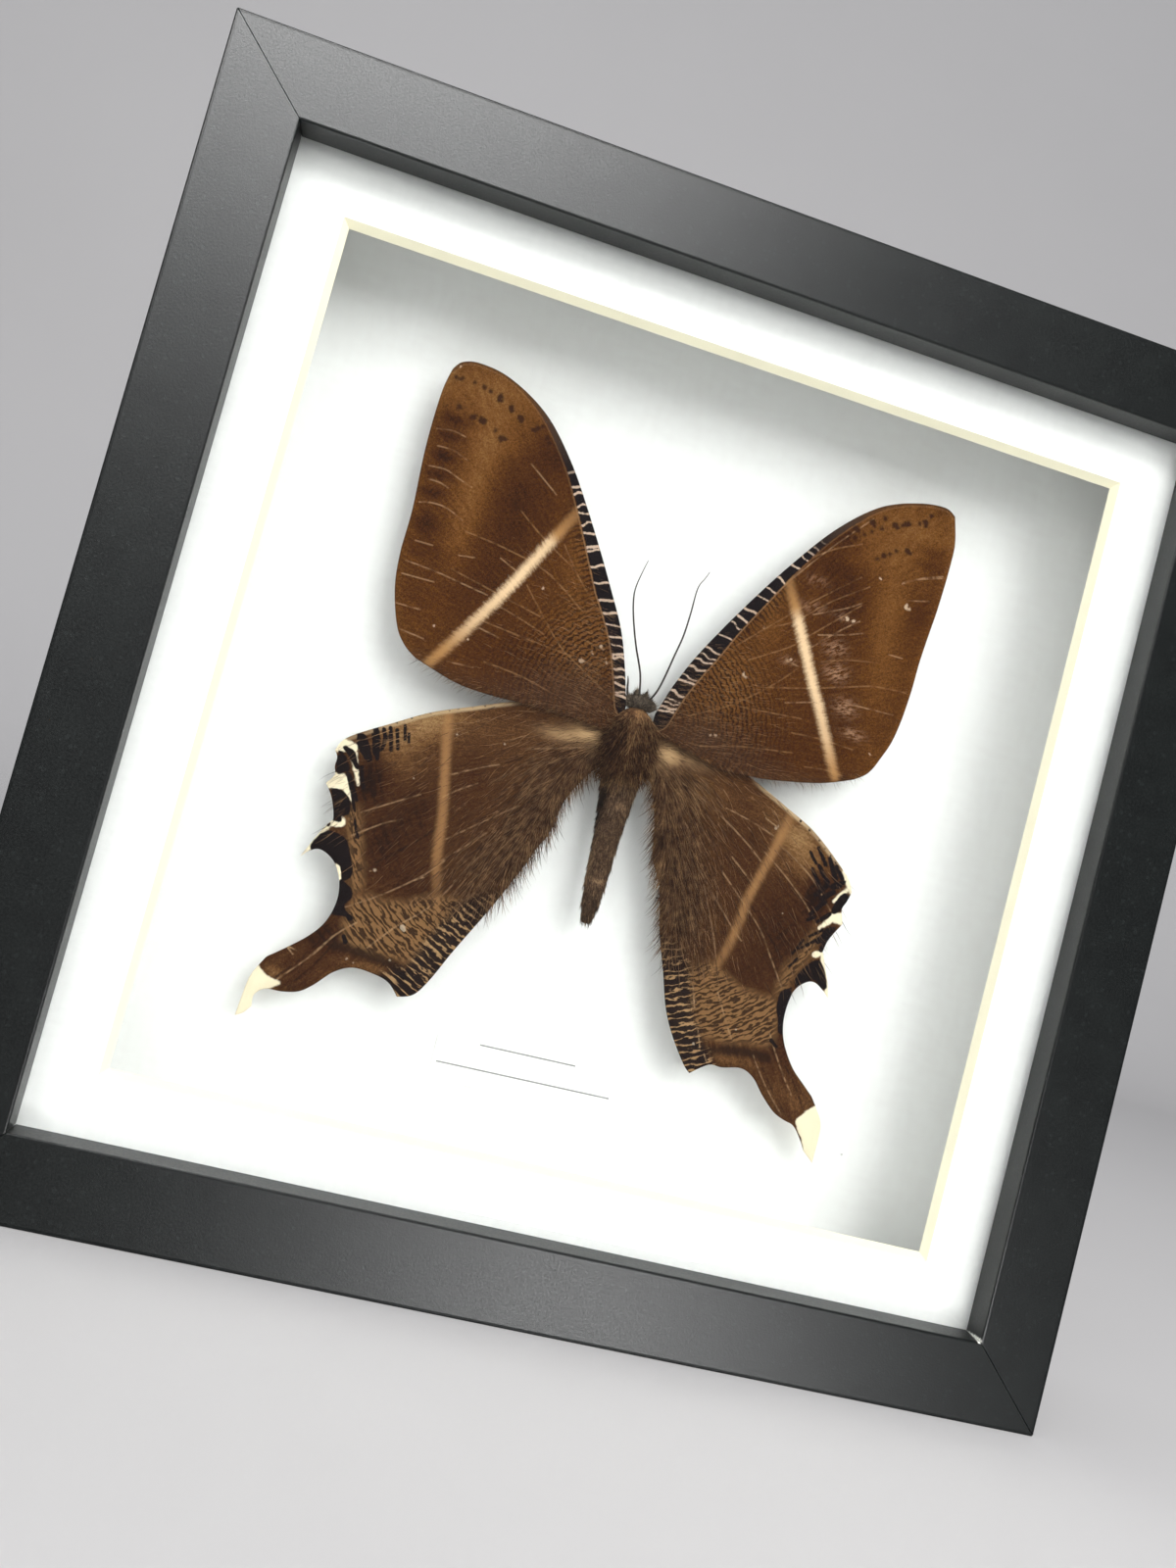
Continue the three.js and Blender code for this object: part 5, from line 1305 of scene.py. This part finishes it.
def makeHead(material):
    h = headShape
    centre = np.array(h["centre"])
    parts = [loft(ballRings(centre, h["radii"], 24, 32, h["cut"]))]
    for side in (-1, 1):
        eyeCentre = centre + np.array([side * h["eyeSpread"], 0, 0])
        parts.append(loft(ballRings(eyeCentre, [h["eye"]] * 3, 16, 24, h["cut"])))
        path = smoothPath([(centre[0] + side * a, centre[1] + b, centre[2] + c) for a, b,
                           c in h["palp"]], 0.2)
        parts.append(tube(path, np.interp(np.linspace(0, 1, len(path)), [0, 0.5, 1], [0.4, 0.5, 0.22]), 12))
    points, faces = joinParts(parts)
    piece = makePiece("head_core", toWorld(points), faces, material, "head")
    turnOutward(piece)
    outward = points - centre
    outward /= np.maximum(np.linalg.norm(outward, axis=1), 1e-6)[:, None]
    flow = outward * 0.8 + np.array([0.0, 0.35, 0.35])
    eyes = np.abs(np.abs(points[:, 0] - centre[0]) - h["eyeSpread"]) < 0.9
    setAttribute(piece.data, "hairy", np.where(eyes & (np.abs(points[:, 0] - centre[0]) > 2.2), 0.15, 1.0))
    setAttribute(piece.data, "flow", toWorldDirection(flow))
    setAttribute(piece.data, "level", np.full(len(points), 0.4))
    return piece


def joinParts(parts):
    points, faces, shift = [], [], 0
    for some, joins in parts:
        points.append(some)
        faces += [tuple(i + shift for i in face) for face in joins]
        shift += len(some)
    return np.vstack(points), faces


def tube(path, radii, around):
    rings = []
    ahead = np.gradient(path, axis=0)
    ahead /= np.linalg.norm(ahead, axis=1)[:, None]
    across = np.cross(ahead, np.array([0.3, 0.1, 1.0]))
    across /= np.linalg.norm(across, axis=1)[:, None]
    other = np.cross(ahead, across)
    angle = np.arange(around) / around * 2 * np.pi
    for centre, a, b, radius in zip(path, across, other, radii):
        rings.append(centre + radius * (np.cos(angle)[:, None] * a + np.sin(angle)[:, None] * b))
    return loft(rings)


abdomenShape = {
    "profile": [(0.35, -31.8), (1.0, -31.1), (1.7, -27), (2.1, -21), (2.4, -15), (3.0, -9), (3.7, -3)],
    # radius, height
    "rings": 8, "step": 0.16, "flatten": 0.9, "lean": 1.3, "x": -0.5, "z": -1.4, "around": 56, "fine": 9,
}


def makeAbdomen(material):
    a = abdomenShape
    taper = smoothPath(a["profile"], 0.1)
    top = a["profile"][-1][1]
    draw = np.random.default_rng(5)
    lean = math.radians(a["lean"])
    rings = []
    for ring in range(a["rings"]):
        for k in range(a["fine"]):
            share = k / a["fine"]
            place = (ring + share) / a["rings"] * (len(taper) - 1)
            low = int(place)
            radius, y = taper[low] + (taper[min(low + 1, len(taper) - 1)] - taper[low]) * (place - low)
            radius += a["step"] * (1 - share) ** 2
            wobble = 1 + draw.normal(0, 0.006, a["around"])
            circle = ellipseRing((0, 0), y, radius, radius * a["flatten"], a["around"])
            circle[:, 0] *= wobble
            circle[:, 2] *= wobble
            down = circle[:, 1] - top
            x = circle[:, 0] * math.cos(lean) - down * math.sin(lean) + a["x"]
            height = circle[:, 0] * math.sin(lean) + down * math.cos(lean) + top
            rings.append(np.stack([x, height, circle[:, 2] + a["z"]], 1))
    points, faces = loft(rings)
    piece = makePiece("abdomen_core", toWorld(points), faces, material, "abdomen")
    turnOutward(piece)
    axis = a["x"] + (points[:, 1] - top) * math.sin(lean)
    outward = np.column_stack([points[:, 0] - axis, np.zeros(len(points)), points[:, 2] - a["z"]])
    outward /= np.maximum(np.linalg.norm(outward, axis=1), 1e-6)[:, None]
    flow = outward * 0.16 + np.array([0.0, -1.0, 0.0])
    # the long dip down the left flank (x -3.2, y -12) is painted shade
    level = pools(points[:, :2], 0.45, [(-3.2, -12, 0.5, 7, -0.5), (0, -23.6, 1.2, 0.35, 0.5),
                                        (0.3, -9, 1.4, 1.0, 0.25),
                                        (-2.2, -22, 0.5, 6, 0.2), (0, -29, 2, 2, -0.1)])
    setAttribute(piece.data, "hairy", np.ones(len(points)))
    setAttribute(piece.data, "flow", toWorldDirection(flow))
    setAttribute(piece.data, "level", level)
    return piece


def bodyScales(name, stops, cells):
    material, bench, shader, coord = newMaterial(name, Specular_IOR_Level=0.04)
    grain = bench.group(scaleGrain, Coord=coord, Cells=cells)
    tone = bench.sway(grain["Speckle"], 0.9, bench.attribute("level"))
    bench.plug(shader.inputs["Base Color"], bench.ramp(tone, stops))
    bench.plug(shader.inputs["Roughness"], bench.ease(grain["Speckle"], 0.2, 0.8, 0.65, 0.9))
    bench.plug(shader.inputs["Normal"], bench.bump(grain["Height"], 0.6, 0.00015))
    return material


thoraxStops = [(0.1, "26150b"), (0.4, "452c1b"), (0.6, "67482f"), (0.9, "9a7850")]
headStops = [(0.05, "161310"), (0.35, "3a322b"), (0.6, "665a4e"), (0.9, "95866f")]
abdomenStops = [(0.1, "1c130d"), (0.4, "3d2d21"), (0.6, "5a4433"), (0.95, "957a5c")]
thoraxCore = makeThorax(bodyScales("thorax_skin", thoraxStops, 5000.0))
headCore = makeHead(bodyScales("head_skin", headStops, 6000.0))
abdomenCore = makeAbdomen(bodyScales("abdomen_skin", abdomenStops, 4500.0))
print("body cores made")

# Hair and scales, grown by one tree on every host


def hairTree():
    tree = bpy.data.node_groups.new("hair", "GeometryNodeTree")
    sockets = [("Geometry", "Geometry", None), ("Density", "Float", 1e7), ("Length", "Float", 0.003),
               ("Shortest", "Float", 0.5), ("Slimness", "Float", 0.014), ("Bend", "Float", 0.15),
               ("Spread", "Float", 0.25), ("Steps", "Int", 3), ("Seed", "Int", 1),
               ("Finish", "Material", None)]
    for label, kind, value in sockets:
        socket = tree.interface.new_socket(label, in_out="INPUT", socket_type="NodeSocket" + kind)
        if value is not None:
            socket.default_value = value
    tree.interface.new_socket("Geometry", in_out="OUTPUT", socket_type="NodeSocketGeometry")
    bench = NodeBench(tree)
    given = bench.node("NodeGroupInput").outputs
    out = bench.node("NodeGroupOutput").inputs

    def named(name, kind):
        return bench.node("GeometryNodeInputNamedAttribute", {"Name": name}, data_type=kind).outputs[0]

    def draw(low, high, salt):
        seed = bench.math("ADD", given["Seed"], float(salt))
        vector = isinstance(low, tuple)
        inputs = {0 if vector else 2: low, 1 if vector else 3: high, 8: seed}
        made = bench.node("FunctionNodeRandomValue", inputs, data_type="FLOAT_VECTOR" if vector else "FLOAT")
        return made.outputs[0 if vector else 1]

    density = bench.times(given["Density"], named("hairy", "FLOAT"))
    inputs = {"Mesh": given["Geometry"], "Density": density, "Seed": given["Seed"]}
    roots = bench.node("GeometryNodeDistributePointsOnFaces", inputs).outputs["Points"]

    tip = bench.node("ShaderNodeCombineXYZ", {1: given["Bend"], 2: 1.0}).outputs[0]
    knee = bench.node("ShaderNodeCombineXYZ", {1: 0.0, 2: 0.55}).outputs[0]
    arc = bench.node("GeometryNodeCurveQuadraticBezier",
                     {"Resolution": given["Steps"], "Start": (0, 0, 0), "Middle": knee,
                      "End": tip}).outputs[0]
    along = bench.node("GeometryNodeSplineParameter").outputs["Factor"]
    arc = bench.node("GeometryNodeStoreNamedAttribute", {"Geometry": arc, "Name": "tip", "Value": along},
                     data_type="FLOAT", domain="POINT").outputs[0]
    taper = bench.math("SUBTRACT", 1.0, bench.times(bench.math("POWER", along, 1.5), 0.92))
    ring = bench.node("GeometryNodeCurvePrimitiveCircle",
                      {"Resolution": 3, "Radius": given["Slimness"]}).outputs[0]
    strand = bench.node("GeometryNodeCurveToMesh", {"Curve": arc, "Profile Curve": ring, "Scale": taper,
                                                     "Fill Caps": True}).outputs[0]

    stray = bench.node("ShaderNodeVectorMath",
                       {0: draw((-1, -1, -1), (1, 1, 1), 11), "Scale": given["Spread"]},
                       operation="SCALE").outputs[0]
    way = bench.vector("ADD", named("flow", "FLOAT_VECTOR"), stray)
    aimed = bench.node("FunctionNodeAlignRotationToVector", {"Vector": way}, axis="Z").outputs[0]
    roll = bench.node("ShaderNodeCombineXYZ", {2: draw(-math.pi, math.pi, 23)}).outputs[0]
    rolled = bench.node("FunctionNodeEulerToRotation", {0: roll}).outputs[0]
    turned = bench.node("FunctionNodeRotateRotation", {0: aimed, 1: rolled},
                        rotation_space="LOCAL").outputs[0]
    size = bench.times(given["Length"], draw(0.0, 1.0, 37))
    low = bench.times(given["Length"], given["Shortest"])
    size = bench.math("MAXIMUM", size, low)
    grown = bench.node("GeometryNodeInstanceOnPoints",
                       {"Points": roots, "Instance": strand, "Rotation": turned,
                                                        "Scale": size}).outputs[0]
    grown = bench.node("GeometryNodeStoreNamedAttribute",
                       {"Geometry": grown, "Name": "tint", "Value": draw(0.0, 1.0, 51)},
                       data_type="FLOAT", domain="INSTANCE").outputs[0]
    grown = bench.node("GeometryNodeRealizeInstances", {"Geometry": grown}).outputs[0]
    grown = bench.node("GeometryNodeSetMaterial", {"Geometry": grown, "Material": given["Finish"]}).outputs[0]
    bench.plug(out["Geometry"], grown)
    return tree


hairGrower = hairTree()
keptFields = {"tip", "tint", "level", "position"}


def growHair(host, coat):
    modifier = host.modifiers.new("hair", "NODES")
    modifier.node_group = hairGrower
    for item in hairGrower.interface.items_tree:
        if item.in_out == "INPUT" and item.name in coat["set"]:
            modifier[item.identifier] = coat["set"][item.name]
    depsgraph = bpy.context.evaluated_depsgraph_get()
    mesh = bpy.data.meshes.new_from_object(host.evaluated_get(depsgraph), depsgraph=depsgraph)
    host.modifiers.remove(modifier)
    for name in [a.name for a in mesh.attributes if a.domain == "POINT" and a.name not in keptFields]:
        if not name.startswith("."):
            mesh.attributes.remove(mesh.attributes[name])
    mesh.name = coat["name"]
    mesh.shade_smooth()
    piece = bpy.data.objects.new(coat["name"], mesh)
    scene.collection.objects.link(piece)
    settle(piece, None)
    print(coat["name"], len(mesh.polygons), "faces")
    return piece


def hairFinish(name, stops, fade):
    material, bench, shader, coord = newMaterial(name, Roughness=0.6, Specular_IOR_Level=0.06)
    strand = bench.math("SUBTRACT", bench.attribute("tint"), 0.5)
    tone = bench.math("MULTIPLY_ADD", strand, 0.8, bench.attribute("level"))
    tone = bench.math("MULTIPLY_ADD", bench.attribute("tip"), fade, tone)
    clump = bench.math("SUBTRACT", bench.noise(coord, 750.0, 2.0), 0.5)
    tone = bench.math("MULTIPLY_ADD", clump, 1.1, tone)
    bench.plug(shader.inputs["Base Color"], bench.ramp(tone, stops))
    return material


wingHairStops = [(0.05, "22130b"), (0.35, "4a3120"), (0.6, "70523a"), (0.95, "9b7954")]
wingHair = hairFinish("wing_hair", wingHairStops, 0.12)
hindwingCoat = {"Density": 1.7e7, "Length": 0.0048, "Shortest": 0.4, "Slimness": 0.0135, "Bend": 0.2,
                "Spread": 0.16, "Steps": 3, "Finish": wingHair}
forewingCoat = {"Density": 1.3e7, "Length": 0.0024, "Shortest": 0.4, "Slimness": 0.013, "Bend": 0.15,
                "Spread": 0.16, "Steps": 2, "Finish": wingHair}
coats = [
    (thoraxCore, {"name": "thorax_hair", "slot": "body_hair", "set": {
        "Density": 1.5e7, "Length": 0.0036, "Shortest": 0.45, "Slimness": 0.021, "Bend": 0.22, "Spread": 0.28,
        "Steps": 3, "Seed": 3, "Finish": hairFinish("thorax_hair", thoraxStops, 0.15)}}),
    (headCore, {"name": "head_hair", "slot": "head_scales", "set": {
        "Density": 3.0e7, "Length": 0.0010, "Shortest": 0.45, "Slimness": 0.04, "Bend": 0.25, "Spread": 0.5,
        "Steps": 2, "Seed": 5, "Finish": hairFinish("head_hair", headStops, 0.2)}}),
    (abdomenCore, {"name": "abdomen_hair", "slot": "abdomen_scales", "set": {
        "Density": 1.1e7, "Length": 0.0014, "Shortest": 0.5, "Slimness": 0.035, "Bend": 0.1, "Spread": 0.16,
        "Steps": 2, "Seed": 7, "Finish": hairFinish("abdomen_hair", abdomenStops, 0.1)}}),
    (leftHindwing, {"name": "left_hindwing_hair", "slot": "hindwing_scales",
                    "set": {**hindwingCoat, "Seed": 11}}),
    (rightHindwing, {"name": "right_hindwing_hair", "slot": "hindwing_scales",
                     "set": {**hindwingCoat, "Seed": 13}}),
    (leftForewing, {"name": "left_forewing_hair", "slot": "forewing_scales",
                    "set": {**forewingCoat, "Seed": 17}}),
    (rightForewing, {"name": "right_forewing_hair", "slot": "forewing_scales",
                     "set": {**forewingCoat, "Seed": 19}}),
]
for host, coat in coats:
    growHair(host, coat)
print("hair grown")

# Antennae and the one leg that shows

antennaTaper = [(0, 0.2), (0.1, 0.19), (0.7, 0.15), (1, 0.07)]  # share of the length, radius
limbs = {
    "left_antenna": {"node": "antenna_left", "around": 10, "radius": antennaTaper, "path": [
        (-1.5, 12.1, 0.4), (-2.6, 16, 1.4), (-4.8, 20.6, 2), (-6.5, 24.8, 2.4), (-7.6, 28.4, 2.6),
        (-7.9, 31, 2.7), (-7.5, 33.9, 2.7), (-6.9, 36.8, 2.6)]},
    "right_antenna": {"node": "antenna_right", "around": 10, "radius": antennaTaper, "path": [
        (0.7, 12, 0.4), (1.5, 14, 1.1), (2.1, 17, 1.6), (2.7, 21, 2), (3.3, 25, 2.4), (3.5, 29.5, 2.6),
        (3.5, 33.6, 2.7), (3.8, 35.4, 2.7), (4.4, 36.5, 2.7), (5, 38.1, 2.6)]},
    "left_foreleg": {"node": "foreleg_left", "around": 10,
                     "radius": [(0, 0.24), (0.5, 0.19), (0.8, 0.14), (1, 0.07)], "path": [
        (-3.6, 11.9, -0.6), (-4, 13.2, -0.3), (-4.2, 14.2, -0.1), (-4.5, 15.2, 0)]},
}


def darkLimb():
    material, bench, shader, coord = newMaterial("dark_limb", Specular_IOR_Level=0.4)
    rings = bench.noise(bench.mapping(coord, size=(0.3, 0.3, 1)), 4000.0, 2.0)
    colour = bench.mix(bench.ease(rings, 0.35, 0.7), shade("16110e"), shade("40362e"))
    bench.plug(shader.inputs["Base Color"], colour)
    bench.plug(shader.inputs["Roughness"], bench.ease(rings, 0.3, 0.7, 0.45, 0.7))
    bench.plug(shader.inputs["Normal"], bench.bump(rings, 0.4, 0.00005))
    return material


def makeLimbs(material):
    for name, limb in limbs.items():
        path = smoothPath(limb["path"], 0.18)
        share = np.linspace(0, 1, len(path))
        radii = np.interp(share, *zip(*limb["radius"])) * (1 + 0.1 * np.sin(np.arange(len(path)) * 2.1))
        points, faces = tube(path, radii, limb["around"])
        piece = makePiece(name, toWorld(points), faces, material, limb["node"])
        turnOutward(piece)


makeLimbs(darkLimb())
print("limbs made")
